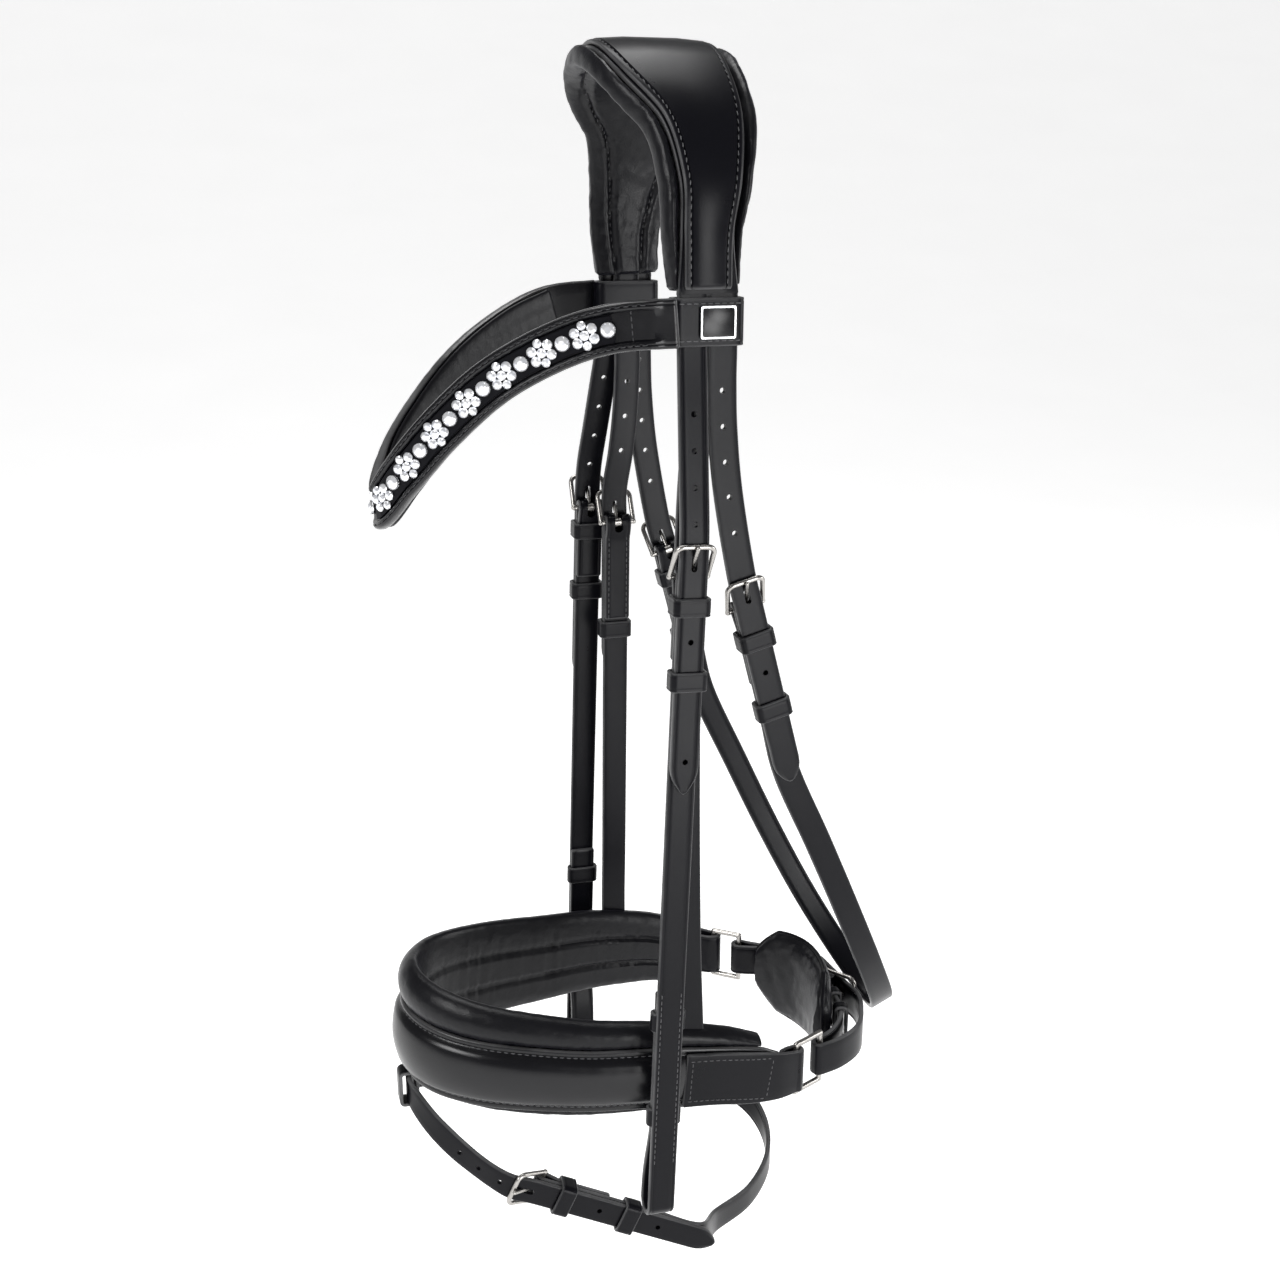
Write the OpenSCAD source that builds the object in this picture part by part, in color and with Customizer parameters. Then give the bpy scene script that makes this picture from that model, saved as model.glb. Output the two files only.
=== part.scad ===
// Snaffle bridle with a shaped headpiece, a jewelled browband and a padded crank noseband with flash.
// Millimetres. The origin is the poll seat, the underside of the headpiece on the centre line.
// -X is towards the horse's nose, -Y is the near (left) side, +Z is up.

/* [Straps] */
// Width of the cheek, throat, noseband hanger and flash straps
strap_w = 12.7; // [11:0.1:13]
// Thickness of a billet, the strap end with the holes
billet_t = 3; // [2.4:0.1:3.1]
// Thickness of a single strap that carries a buckle
lower_t = 2.6; // [2.2:0.1:2.8]
// Radius of the punched holes
hole_r = 1.3; // [1:0.1:1.5]

/* [Headpiece] */
// Half of the width between the two sides of the headpiece
arch_r = 54; // [52:1:56]
// Height of the headpiece arch above the place where its sides hang straight
arch_h = 66; // [62:1:70]
// Thickness of the soft lining at the poll
lining_t = 8; // [6:0.5:8]

/* [Browband] */
// Height of the browband
browband_w = 20; // [18:0.5:21]
// Number of jewel clusters on each half
clusters = 7; // [3:1:7]

/* [Noseband] */
// Thickness of the soft noseband lining
nose_pad_t = 8; // [6:0.5:8]
// Height of the crank strap that closes the noseband
crank_w = 17; // [14:0.5:18]

/* [Buckles] */
// Radius of the round wire of the buckle frames
wire_r = 1.15; // [1:0.05:1.2]
// Radius of the bar that carries the strap and the tongue
bar_r = 1.25; // [1.1:0.05:1.3]
// Distance from the bar to the top of the frame, along the strap
buckle_l = 14; // [13:0.5:15]

/* [Hidden] */

$fn = 48;
gap = 0.1;
leather = [0.11, 0.11, 0.13];
soft_leather = [0.16, 0.16, 0.18];
steel = [0.75, 0.75, 0.77];
up = [0, 0, 1];

// The buckle stack, measured outwards from the bar: the lower strap, then the billet on top of it
fold_r = bar_r + 0.1 + lower_t;
billet_n = fold_r + gap + billet_t / 2;
main_n = fold_r - lower_t / 2;
top_bar_n = fold_r + gap + billet_t + 0.3 + wire_r;
arm_x = strap_w / 2 + 0.8 + wire_r;
chape_l = 36;

/* Vectors, frames and curves */

function unit(v) = v / norm(v);
function flip(p) = [p[0], -p[1], p[2]];
function flipped(points) = [for (i = [len(points) - 1 : -1 : 0]) flip(points[i])];

// A frame is an origin, the direction along the strap and the direction that its face looks
function frame(from, to, out) =
    let (along = unit(to - from))
    [from, along, unit(out - (out * along) * along)];
function across(f) = cross(f[1], f[2]);
function on(f, p) = f[0] + p[0] * across(f) + p[1] * f[1] + p[2] * f[2];

module at(f) {
    s = across(f);
    a = f[1];
    o = f[2];
    multmatrix([
        [s[0], a[0], o[0], f[0][0]],
        [s[1], a[1], o[1], f[0][1]],
        [s[2], a[2], o[2], f[0][2]],
        [0, 0, 0, 1]
    ])
    children();
}

// One stretch of a Catmull-Rom curve from b to c, and the curve through a list of points or numbers
function stretch(a, b, c, d, t) =
    b + 0.5 * t * (c - a + t * (2 * a - 5 * b + 4 * c - d + t * (3 * b - a - 3 * c + d)));
function curve(P, u) =
    let (n = len(P) - 1, i = min(floor(u), n - 1))
    let (before = i > 0 ? P[i - 1] : 2 * P[0] - P[1])
    let (after = i < n - 1 ? P[i + 2] : 2 * P[n] - P[n - 1])
    stretch(before, P[i], P[i + 1], after, u - i);
function slope(P, u) =
    let (n = len(P) - 1, e = 0.02)
    unit(curve(P, min(u + e, n)) - curve(P, max(u - e, 0)));

// The frame of a strap at place u of its route, where the vector side is the way across it
function route_frame(P, side, u) =
    let (along = slope(P, u), s = unit(side - (side * along) * along))
    [curve(P, u), along, cross(s, along)];

// Widths are one number or one number for each point, and change evenly in between
function width_at(w, u) =
    is_list(w)
        ? let (i = min(floor(u), len(w) - 2)) w[i] + (w[i + 1] - w[i]) * (u - i)
        : w;

// Points and widths of a part of a route, from place a to place b in steps of 1 / per
function part_of(P, a, b, per, rise = 0) =
    [for (i = [0 : round((b - a) * per)]) curve(P, a + i / per) + [0, 0, width_at(rise, a + i / per)]];
function part_widths(w, a, b, per) =
    [for (i = [0 : round((b - a) * per)]) width_at(w, a + i / per)];

// Points of one cross-section: a flat strap whose edges are eased by e
function section(f, w, t, e) =
    let (x = w / 2, z = t / 2)
    [for (p = [[x, e - z], [x, z - e], [x - e, z], [e - x, z],
               [-x, z - e], [-x, e - z], [e - x, -z], [x - e, -z]]) on(f, [p[0], 0, p[1]])];

// A strap of the given width and thickness carried along a smooth route, lifted off it by lift
module strap(P, side, w, t, e = 0.7, per = 3, lift = 0) {
    n = (len(P) - 1) * per;
    rings = [for (i = [0 : n])
        let (u = i / per, f = route_frame(P, side, u))
        section([f[0] + lift * f[2], f[1], f[2]], width_at(w, u), t, e)];
    k = len(rings[0]);
    polyhedron(
        points = [for (r = rings) each r],
        faces = [
            [for (j = [k - 1 : -1 : 0]) j],
            [for (j = [0 : k - 1]) n * k + j],
            for (i = [0 : n - 1], j = [0 : k - 1])
                let (m = (j + 1) % k)
                [i * k + j, i * k + m, (i + 1) * k + m, (i + 1) * k + j]
        ],
        convexity = 6
    );
}

// A rectangle with round corners, centred
module round_rect(w, h, r) {
    square([w - 2 * r, h], center = true);
    square([w, h - 2 * r], center = true);
    for (x = [-1, 1], y = [-1, 1])
        translate([x * (w / 2 - r), y * (h / 2 - r)])
            circle(r);
}

// A solid whose outline is drawn along the strap (first axis) and outwards (second axis)
module side_profile(w) {
    rotate([0, 90, 0])
        rotate([0, 0, 90])
            linear_extrude(w, center = true)
                children();
}

/* Strap ends and fittings, each in the frame of its buckle bar */

// The outline of a billet with a pointed end: y runs down the strap
module billet_outline(from, to, w = strap_w) {
    x = w / 2;
    polygon([
        [-x, from], [x, from], [x, to - 11], [0.8 * x, to - 5.5], [0.35 * x, to - 1],
        [0, to], [-0.35 * x, to - 1], [-0.8 * x, to - 5.5], [-x, to - 11]
    ]);
}

// The long hole that the tongue goes through
module tongue_slot() {
    for (y = [-9.4, -3.8])
        translate([0, y, 0])
            cylinder(h = 20, r = hole_r);
    translate([-hole_r, -9.4, 0])
        cube([2 * hole_r, 5.6, 20]);
}

module punched(places) {
    for (y = places)
        translate([0, y, -20])
            cylinder(h = 60, r = hole_r);
}

// The fold of the lower strap round the bar, with the slot for the tongue
module chape(w = strap_w - 0.4, length = chape_l) {
    difference() {
        side_profile(w)
            difference() {
                union() {
                    circle(fold_r - 0.05);
                    polygon([
                        [0, 0.05 - fold_r], [7.5, lower_t / 2 - main_n], [length, lower_t / 2 - main_n],
                        [length, fold_r - 0.05], [0, fold_r - 0.05]
                    ]);
                }
                circle(bar_r + 0.1);
            }
        translate([-2.3, -5, -5])
            cube([4.6, 10, 10]);
    }
}

// A closed frame of round wire with a straight bar, tilted so that the billet passes through it
module buckle_frame(half = arm_x) {
    tilt = atan(top_bar_n / buckle_l);
    top = norm([top_bar_n, buckle_l]);
    corner = 3.4;
    rotate([0, 90, 0])
        cylinder(h = 2 * half, r = bar_r, center = true);
    rotate([-tilt, 0, 0]) {
        for (side = [-1, 1]) {
            translate([side * half, 0, 0])
                rotate([90, 0, 0])
                    cylinder(h = top - corner, r = wire_r);
            translate([side * half, 0, 0])
                sphere(bar_r + 0.1);
            translate([side * (half - corner), corner - top, 0])
                mirror([side < 0 ? 1 : 0, 0, 0])
                    rotate([0, 0, -90])
                        rotate_extrude(angle = 90)
                            translate([corner, 0])
                                circle(wire_r);
        }
        translate([0, -top, 0])
            rotate([0, 90, 0])
                cylinder(h = 2 * (half - corner), r = wire_r, center = true);
    }
}

// The tongue, a pin with an eye that turns on the bar and a tip that rests on the frame
module tongue() {
    pin_r = 0.9;
    reach = norm([top_bar_n, buckle_l]);
    lean = atan(top_bar_n / buckle_l) + asin((wire_r + pin_r + 0.05) / reach);
    difference() {
        union() {
            rotate([0, 90, 0])
                cylinder(h = 3.4, r = bar_r + 1.05, center = true);
            rotate([90 - lean, 0, 0])
                cylinder(h = reach + 1.2, r = pin_r);
            rotate([90 - lean, 0, 0])
                translate([0, 0, reach + 1.2])
                    sphere(pin_r);
        }
        rotate([0, 90, 0])
            cylinder(h = 5, r = bar_r + 0.05, center = true);
    }
}

// A closed leather loop round the strap, between the heights low and high above the bar
module keeper(low, high, y, length, w = strap_w) {
    wall = 1.7;
    room = 0.2;
    translate([0, y + length, (low + high) / 2])
        rotate([90, 0, 0])
            linear_extrude(length)
                difference() {
                    round_rect(w + 2 * room + 2 * wall, high - low + 2 * room + 2 * wall, 1.6);
                    square([w + 2 * room, high - low + 2 * room], center = true);
                }
}

stack_low = main_n - lower_t / 2;
stack_high = fold_r + gap + billet_t;
module fixed_keeper(y) {
    keeper(lower_t / 2 - main_n, stack_high, y, 8);
}
module runner(y) {
    keeper(stack_low, stack_high, y, 8.5);
}

/* Headpiece: three layers over the poll */

arch_angles = [-90, -72, -50, -25, 0, 25, 50, 72, 90];
side_bottom = -84;
tail_z = -104.8;
arch_base = -arch_h + lining_t / 2;
function arch(grow, low, centres) =
    let (n = len(centres) - 1)
    let (a = arch_r + grow, b = arch_h + grow)
    [
        [centres[n], -a, low],
        for (i = [0 : 8])
            [centres[abs(i - 4)], a * sin(arch_angles[i]), arch_base + b * cos(arch_angles[i])],
        [centres[n], a, low]
    ];
function arch_widths(half) =
    let (n = len(half) - 1)
    [half[n], for (i = [0 : 8]) half[abs(i - 4)], half[n]];

lining_c = [4, 6, 14, 12, 9.5, 10];
cover_c = [2.5, 4, 11, 12, 10, 10];
strap_c = [2.5, 4, 11, 12, 10, 10.5];
strap_lift = lining_t / 2 + 2;
cover_lift = lining_t / 2 + 5.1;

module headpiece_lining() {
    color(soft_leather)
        strap(arch(0, side_bottom, lining_c), [1, 0, 0],
            arch_widths([68, 63, 45, 38, 32, 28]), lining_t, 3, 4);
}
module headpiece_strap() {
    color(leather) {
        strap(arch(strap_lift, side_bottom - 3, strap_c), [1, 0, 0],
            arch_widths([54, 51, 37, 28, 24, 26.4]), 2.8, 0.7, 4);
        for (s = [-1, 1]) {
            // the three tails that pass through the browband loop
            translate([4.1 - strap_w / 2, s * 60.5 - 1.4, tail_z])
                cube([2 * strap_w + 0.2, 2.8, side_bottom - tail_z - 0.5]);
            translate([10 - strap_w / 2, s * 57.4 - 1.3, tail_z])
                cube([strap_w, 2.6, side_bottom - tail_z - 0.5]);
        }
    }
}
module headpiece_cover() {
    color(leather)
        strap(arch(cover_lift, side_bottom, cover_c), [1, 0, 0],
            arch_widths([51, 48, 34, 25, 20.5, 20]), 2.4, 0.8, 4);
}

/* Browband */

brow_half = [[-3, -64, -97], [-28, -57, -99], [-50, -46, -107], [-74, -34, -122],
             [-95, -23, -143], [-110, -13, -163]];
brow_front = [-118, 0, -178];
brow_route = concat(brow_half, [brow_front], flipped(brow_half));
brow_last = len(brow_route) - 1;
brow_t = 3.6;
brow_steps = 8;
layer_gap = 0.35;
loop_t = 2.1;

// The two loops hold the headpiece tails tight, one on each side
module brow_loop() {
    translate([10.5, -59, -97 - 9.7])
        linear_extrude(19.4)
            difference() {
                round_rect(26.4 + 2 * loop_t, 6.2 + 2 * loop_t, 2);
                square([26.4, 6.2], center = true);
            }
}
module browband() {
    color(leather) {
        strap(brow_route, up, browband_w, brow_t, 1, brow_steps);
        brow_loop();
        mirror([0, 1, 0])
            brow_loop();
    }
}
module browband_lining() {
    lining_t = 3;
    inner = part_of(brow_route, 1, brow_last - 1, brow_steps);
    color(soft_leather)
        strap(inner, up, browband_w - 1.5, lining_t, 1.2, 1, -brow_t / 2 - layer_gap - lining_t / 2);
}

// Distances along the jewelled part of the browband, from its near end to its far end
brow_table = [for (i = 0, d = 0; i <= 24 * brow_last;
                   d = d + norm(curve(brow_route, (i + 1) / 24) - curve(brow_route, i / 24)), i = i + 1)
    [d, i / 24]];
brow_length = brow_table[24 * brow_last][0];
jewel_end = 28;
jewel_step = (brow_length - 2 * jewel_end) / (2 * clusters);
module on_browband(d, height, lift) {
    f = route_frame(brow_route, up, lookup(d, brow_table));
    at([f[0] + lift * f[2] + height * across(f), f[1], f[2]])
        children();
}
strip_t = 1;
strip_lift = brow_t / 2 + layer_gap;
module jewel_strip() {
    route = part_of(brow_route, 1, brow_last - 1, brow_steps);
    color([0.05, 0.05, 0.06])
        strap(route, up, 11, strip_t, 0.3, 1, strip_lift + strip_t / 2);
}
jewel_lift = strip_lift + strip_t + 0.3;
large_r = 2.7;
small_r = 1.9;
tiny_r = 1.6;
flower_r = 3.9;
module stone(r) {
    cylinder(h = 0.9, r1 = r, r2 = r);
    translate([0, 0, 0.9])
        cylinder(h = 0.8, r1 = r, r2 = 0.55 * r);
}
// Between two large stones, six small ones stand round a seventh
module jewels() {
    color([0.9, 0.93, 0.97]) {
        for (i = [0 : 2 * clusters])
            on_browband(jewel_end + i * jewel_step, 0, jewel_lift)
                stone(large_r);
        for (i = [0 : 2 * clusters - 1]) {
            middle = jewel_end + (i + 0.5) * jewel_step;
            on_browband(middle, 0, jewel_lift)
                stone(tiny_r);
            for (a = [30 : 60 : 330])
                on_browband(middle + flower_r * cos(a), flower_r * sin(a), jewel_lift)
                    stone(a % 180 == 90 ? tiny_r : small_r);
        }
    }
}
module jewel_cups() {
    color(steel)
        for (i = [0 : 2 * clusters])
            on_browband(jewel_end + i * jewel_step, 0, jewel_lift)
                difference() {
                    cylinder(h = 1.1, r = large_r + 0.4);
                    translate([0, 0, -1])
                        cylinder(h = 3, r = large_r + 0.1);
                }
}
module near_plate() {
    color(steel)
        translate([13.5, -65.2, -97])
            rotate([90, 0, 0])
                linear_extrude(0.9)
                    round_rect(15, 13, 0.8);
}

/* Cheekpieces */

// A cheek is a frame at its buckle bar, its length to the bit fold, and the place where its billet starts
near_cheek = frame([0.6, -69.3, -201], [-14.5, -80, -501], [0, -1, 0]);
far_cheek = frame([-5.7, 69.3, -199], [-12.5, 80, -499], [0, 1, 0]);
cheek_l = 300;
near_cheek_top = [4, -60.5, -107.2];
far_cheek_top = [4, 60.5, -107.2];
cheek_tip = 95;
bit_r = 4;
stud_y = 231;

module cheek_billet(f, top) {
    join = on(f, [0, -17, billet_n]);
    upper = frame(top, join, f[2]);
    color(leather)
        union() {
            difference() {
                at(upper)
                    translate([-strap_w / 2, 0, -billet_t / 2])
                        cube([strap_w, norm(join - top) + 0.4, billet_t]);
                at(upper)
                    punched([27, 42, 57, 72]);
            }
            difference() {
                at(f)
                    translate([0, 0, billet_n - billet_t / 2])
                        linear_extrude(billet_t)
                            billet_outline(-17, cheek_tip);
                at(f)
                    tongue_slot();
                at(f)
                    punched([27, 80]);
            }
        }
}
module near_cheek_billet() {
    cheek_billet(near_cheek, near_cheek_top);
}
module far_cheek_billet() {
    cheek_billet(far_cheek, far_cheek_top);
}

// The lower strap: a fold round the buckle bar above, and a fold for the bit ring below
bit_fold_n = main_n - lower_t / 2 - bit_r;
module cheekpiece(f) {
    back = stack_low - lower_t;
    color(leather)
        at(f)
            difference() {
                union() {
                    chape(strap_w);
                    side_profile(strap_w)
                        difference() {
                            union() {
                                translate([5, stack_low])
                                    square([cheek_l - 5, lower_t]);
                                translate([cheek_l, bit_fold_n])
                                    circle(bit_r + lower_t);
                                polygon([
                                    [cheek_l, bit_fold_n - bit_r - lower_t],
                                    [cheek_l - 16, bit_fold_n - bit_r - 1.8], [cheek_l - 42, back],
                                    [cheek_l - 109, back], [cheek_l - 109, stack_low],
                                    [cheek_l - 38, stack_low], [cheek_l - 14, bit_fold_n - bit_r + 0.9],
                                    [cheek_l, bit_fold_n - bit_r]
                                ]);
                            }
                            translate([cheek_l, bit_fold_n])
                                circle(bit_r);
                            translate([cheek_l - 14, bit_fold_n - bit_r + 0.9])
                                square([14, 2 * bit_r - 0.9]);
                        }
                }
                translate([0, stud_y, back - 1])
                    cylinder(h = lower_t + 1 - 0.4, r = 1.6);
            }
}
module near_cheekpiece() {
    cheekpiece(near_cheek);
}
module far_cheekpiece() {
    cheekpiece(far_cheek);
}

// Two leather channels sewn behind each cheekpiece hold the returning end
module bit_keepers(f) {
    wall = 1.6;
    low = stack_low - lower_t - 0.2 - wall;
    color(leather)
        at(f)
            for (y = [201, 249])
                difference() {
                    translate([-strap_w / 2 - 0.2 - wall, y, low])
                        cube([strap_w + 0.4 + 2 * wall, 9, stack_low + 1 - low]);
                    translate([-strap_w / 2 - 0.2, y - 1, low + wall])
                        cube([strap_w + 0.4, 11, 20]);
                }
}
module near_bit_keepers() {
    bit_keepers(near_cheek);
}
module far_bit_keepers() {
    bit_keepers(far_cheek);
}
module hook_stud(f) {
    color(steel)
        at(f)
            translate([0, stud_y, stack_low - lower_t]) {
                translate([0, 0, -2.2])
                    cylinder(h = 2.2 + lower_t - 0.5, r = 1.5);
                translate([0, 0, -3.4])
                    cylinder(h = 1.3, r1 = 2.2, r2 = 3);
            }
}
module near_hook_stud() {
    hook_stud(near_cheek);
}
module far_hook_stud() {
    hook_stud(far_cheek);
}

/* Throatlash */

near_throat = frame([31.4, -55.8, -220.3], [50.5, -56, -293], [0, -1, 0]);
far_throat = frame([31.4, 55.8, -220.3], [50.5, 56, -293], [0, 1, 0]);
throat_tip = 85;
throat_low_half = [[70, -57.5, -338], [89, -53, -379], [107, -43, -416], [123, -25, -446]];
throat_bottom = [131, 0, -460];

module throat_billet(f, s) {
    route = [
        [17.1, s * 60.5, -110], [17.1, s * 60.5, -123], [17.8, s * 60.8, -142], [20.5, s * 61.1, -168],
        on(f, [0, -18, billet_n]), on(f, [0, 0, billet_n]), on(f, [0, 37, billet_n]),
        on(f, [0, 74, billet_n]), on(f, [0, throat_tip, billet_n])
    ];
    w = strap_w;
    color(leather)
        difference() {
            strap(route, [1, 0, 0.2], [w, w, w, w, w, w, w, w, 3], billet_t, 0.7, 3);
            at(f)
                tongue_slot();
            at(f)
                punched([13, 30]);
            for (u = [1.4, 2.15, 2.75])
                at(route_frame(route, [1, 0, 0.2], u))
                    punched([0]);
        }
}
module near_throat_billet() {
    throat_billet(near_throat, -1);
}
module far_throat_billet() {
    throat_billet(far_throat, 1);
}

// One strap hangs from both buckles in a loop under the jaw
function strap_points(f, places) = [for (y = places) on(f, [0, y, main_n])];
throat_half = concat(strap_points(near_throat, [6, 27, 54, 82]), throat_low_half);
throat_route = concat(throat_half, [throat_bottom], flipped(throat_half));
module throatlash() {
    color(leather) {
        strap(throat_route, [0.9, 0, 0.42], strap_w, lower_t, 0.7, 3);
        at(near_throat)
            chape();
        at(far_throat)
            chape();
    }
}

/* Noseband hangers: a plain one on the near side and a buckled one on the far side */

near_hanger_route = [[10, -57.4, -108.6], [7.4, -57.5, -140], [4.4, -58.3, -190], [3.6, -59.4, -280],
                     [4.6, -60.6, -370], [6.4, -61.2, -424], [7, -61.2, -456]];
module near_hanger() {
    color(leather)
        strap(near_hanger_route, [1, 0, 0.05], strap_w, lower_t, 0.7, 3);
}

far_hang = frame([4.2, 53.7, -204], [3.2, 58.9, -424], [0, 1, 0]);
module far_hanger_billet() {
    route = [
        [10, 57.4, -108.6], [10.6, 57.4, -125], [9.4, 57.5, -150], [7.2, 58, -170],
        on(far_hang, [0, -15, billet_n]), on(far_hang, [0, 2, billet_n]), on(far_hang, [0, 34, billet_n]),
        on(far_hang, [0, 68, billet_n]), on(far_hang, [0, 78, billet_n])
    ];
    w = strap_w;
    color(leather)
        difference() {
            strap(route, [1, 0, 0.1], [w, w, w, w, w, w, w, w, 3], lower_t, 0.7, 3);
            at(far_hang)
                tongue_slot();
            at(far_hang)
                punched([18, 44]);
            for (u = [1.6, 2.35])
                at(route_frame(route, [1, 0, 0.1], u))
                    punched([0]);
        }
}
module far_hanger() {
    route = concat(strap_points(far_hang, [6, 60, 120, 180, 218]), [[4.5, 61, -456]]);
    color(leather) {
        strap(route, [1, 0, 0], strap_w, lower_t, 0.7, 3);
        at(far_hang)
            chape(length = 50);
    }
}

/* Noseband */

// Half of the route of the noseband leather seen from above, with its height
nose_half = [[50, -63.6, -453], [38, -64.8, -451.5], [18, -65, -448], [-12, -63, -445], [-42, -58.5, -444],
             [-68, -52, -442], [-90, -43, -440.5], [-106, -31, -439.5], [-116, -16, -439]];
nose_front = [-119.5, 0, -438.5];
nose_route = concat(nose_half, [nose_front], flipped(nose_half));
nose_last = len(nose_route) - 1;
nose_t = 2.6;
function mirrored(list) = concat(list, [for (i = [len(list) - 2 : -1 : 0]) list[i]]);
module noseband_leather() {
    color(leather)
        strap(nose_route, up, mirrored([22, 30, 31, 31.5, 32, 33, 34, 35, 36, 36]), nose_t, 0.8, 3);
}
module noseband_panel() {
    inner = part_of(nose_route, 3, nose_last - 3, 3);
    color(leather)
        strap(inner, up, 17, 3, 1.3, 1, nose_t / 2 + 0.25 + 1.5);
}
// The lining is taller than the leather and rises into a soft roll over the nose
nose_rise = [0, 0.5, 1, 1, 1.5, 3, 5, 7, 8.5, 9];
module noseband_lining() {
    inner = part_of(nose_route, 1, nose_last - 1, 3, mirrored(nose_rise));
    widths = part_widths(mirrored([34, 34, 38, 41, 44, 48, 51, 54, 56, 57]), 1, nose_last - 1, 3);
    color(soft_leather)
        difference() {
            strap(inner, up, widths, nose_pad_t, 3, 1, -nose_t / 2 - 0.35 - nose_pad_t / 2);
            // the hangers go down between the leather and its lining
            for (place = [[6.8, -62.3], [3.6, 62.3]])
                translate([place[0] - 7.4, place[1] - 3.3, -480])
                    cube([14.8, 6.6, 90]);
        }
}

// The end tabs are sewn on the ends of the noseband and fold round the square rings
ring_r = 1.4;
ring_z = -455;
near_ring_bars = [[61, -60.2, ring_z], [76.5, -53.2, ring_z]];
far_ring_bars = [[61, 60.2, ring_z], [72.5, 50.8, ring_z]];
tab_route = [[2, -67, -446.6], [18, -67.7, -448], [36, -67.6, -451], [52, -65.9, -453.4]];
module near_end_tab() {
    bar = near_ring_bars[0];
    tab_t = 2.4;
    color(leather)
        difference() {
            union() {
                strap(tab_route, up, [28, 28, 27, 24], tab_t, 0.7, 3);
                translate([0, 0, ring_z - 11.2]) {
                    translate([bar[0], bar[1], 0])
                        cylinder(h = 22.4, r = ring_r + 0.1 + tab_t);
                    linear_extrude(22.4)
                        polygon([[51, -66.6], [61, bar[1] - ring_r - tab_t], [61, bar[1] + ring_r + tab_t],
                                 [51, -60.6]]);
                }
            }
            translate([bar[0], bar[1], ring_z - 20])
                cylinder(h = 40, r = ring_r + 0.1);
        }
}
module far_end_tab() {
    mirror([0, 1, 0])
        near_end_tab();
}

// A rectangular ring of round wire between two upright bars
module square_ring(bars, half = 13) {
    f = frame(bars[0], bars[1], bars[0][1] * [0, 1, 0]);
    length = norm(bars[1] - bars[0]);
    color(steel)
        at(f) {
            for (y = [0, length])
                translate([0, y, 0])
                    rotate([0, 90, 0])
                        cylinder(h = 2 * half, r = ring_r, center = true);
            for (x = [-half, half]) {
                translate([x, 0, 0])
                    rotate([-90, 0, 0])
                        cylinder(h = length, r = ring_r);
                for (y = [0, length])
                    translate([x, y, 0])
                        sphere(ring_r);
            }
        }
}
module near_ring() {
    square_ring(near_ring_bars);
}
module far_ring() {
    square_ring(far_ring_bars);
}

/* Crank strap and chin pad behind the jaw */

function level_frame(from, to) = frame(from, to, cross(to - from, up));
// The strap runs from the far ring behind the chin pad, through the near ring and back to its buckle
crank = level_frame([106.2, 6, ring_z], [104.6, 26, ring_z]);
function z_ring(list) = [for (p = list) [p[0], p[1], ring_z]];
// The way round an upright bar at c, where d points along the strap and p across it
wrap_r = ring_r + 0.5 + lower_t / 2;
function wrap(c, d, p, angles) = [for (a = angles) c + wrap_r * (cos(a) * d + sin(a) * p)];
far_d = [0.785, -0.619, 0];
far_p = [0.619, 0.785, 0];
far_bar = far_ring_bars[1];
crank_route = concat(
    [far_bar + 12 * far_d + 0.2 * far_p, far_bar + 6 * far_d - 1.9 * far_p],
    wrap(far_bar, far_d, far_p, [-90, -135, -180, -225, -270]),
    [far_bar + 6 * far_d + wrap_r * far_p, far_bar + 14 * far_d + 3 * far_p],
    [for (p = [[20, -3], [13, -4.4], [2, -5.1], [-12, -5.1]]) on(crank, [0, p[0], p[1]])],
    z_ring([[100.6, -21], [96.4, -34], [87, -44.6]]),
    wrap(near_ring_bars[1], [1, 0, 0], [0, 1, 0], [80, 125, 170, 215, 260]),
    z_ring([[89, -52.6], [101.5, -44], [109, -31]]),
    [for (y = [-24, -8, 14, 26]) on(crank, [0, y, billet_n - 0.2])]
);
module crank_strap() {
    last = len(crank_route) - 1;
    color(leather)
        difference() {
            union() {
                strap(crank_route, up, [for (i = [0 : last]) i == last ? 8 : crank_w],
                      lower_t - 0.2, 0.6, 3);
                at(crank)
                    chape(crank_w - 0.4, 24);
            }
            at(crank)
                tongue_slot();
        }
}
crank_half = crank_w / 2 + 0.8 + wire_r;
module crank_buckle() {
    color(steel)
        at(crank)
            buckle_frame(crank_half);
}
module crank_tongue() {
    color(steel)
        at(crank)
            tongue();
}
pad_route = [for (p = [[87, -31], [92, -20], [94.2, -5], [93.4, 8], [89, 20], [84, 28]]) [p[0], p[1], -451]];
module chin_pad() {
    color(soft_leather)
        strap(pad_route, up, [32, 46, 50, 50, 46, 34], 8.4, 3, 4);
}
// Two loops sewn to the back of the pad hold it on the strap
module chin_pad_loops() {
    color(leather)
        for (u = [12.45, 13.5])
            at(route_frame(crank_route, up, u))
                keeper(-1.9, 1.9, -3, 6, crank_w);
}

/* Flash */

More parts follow.
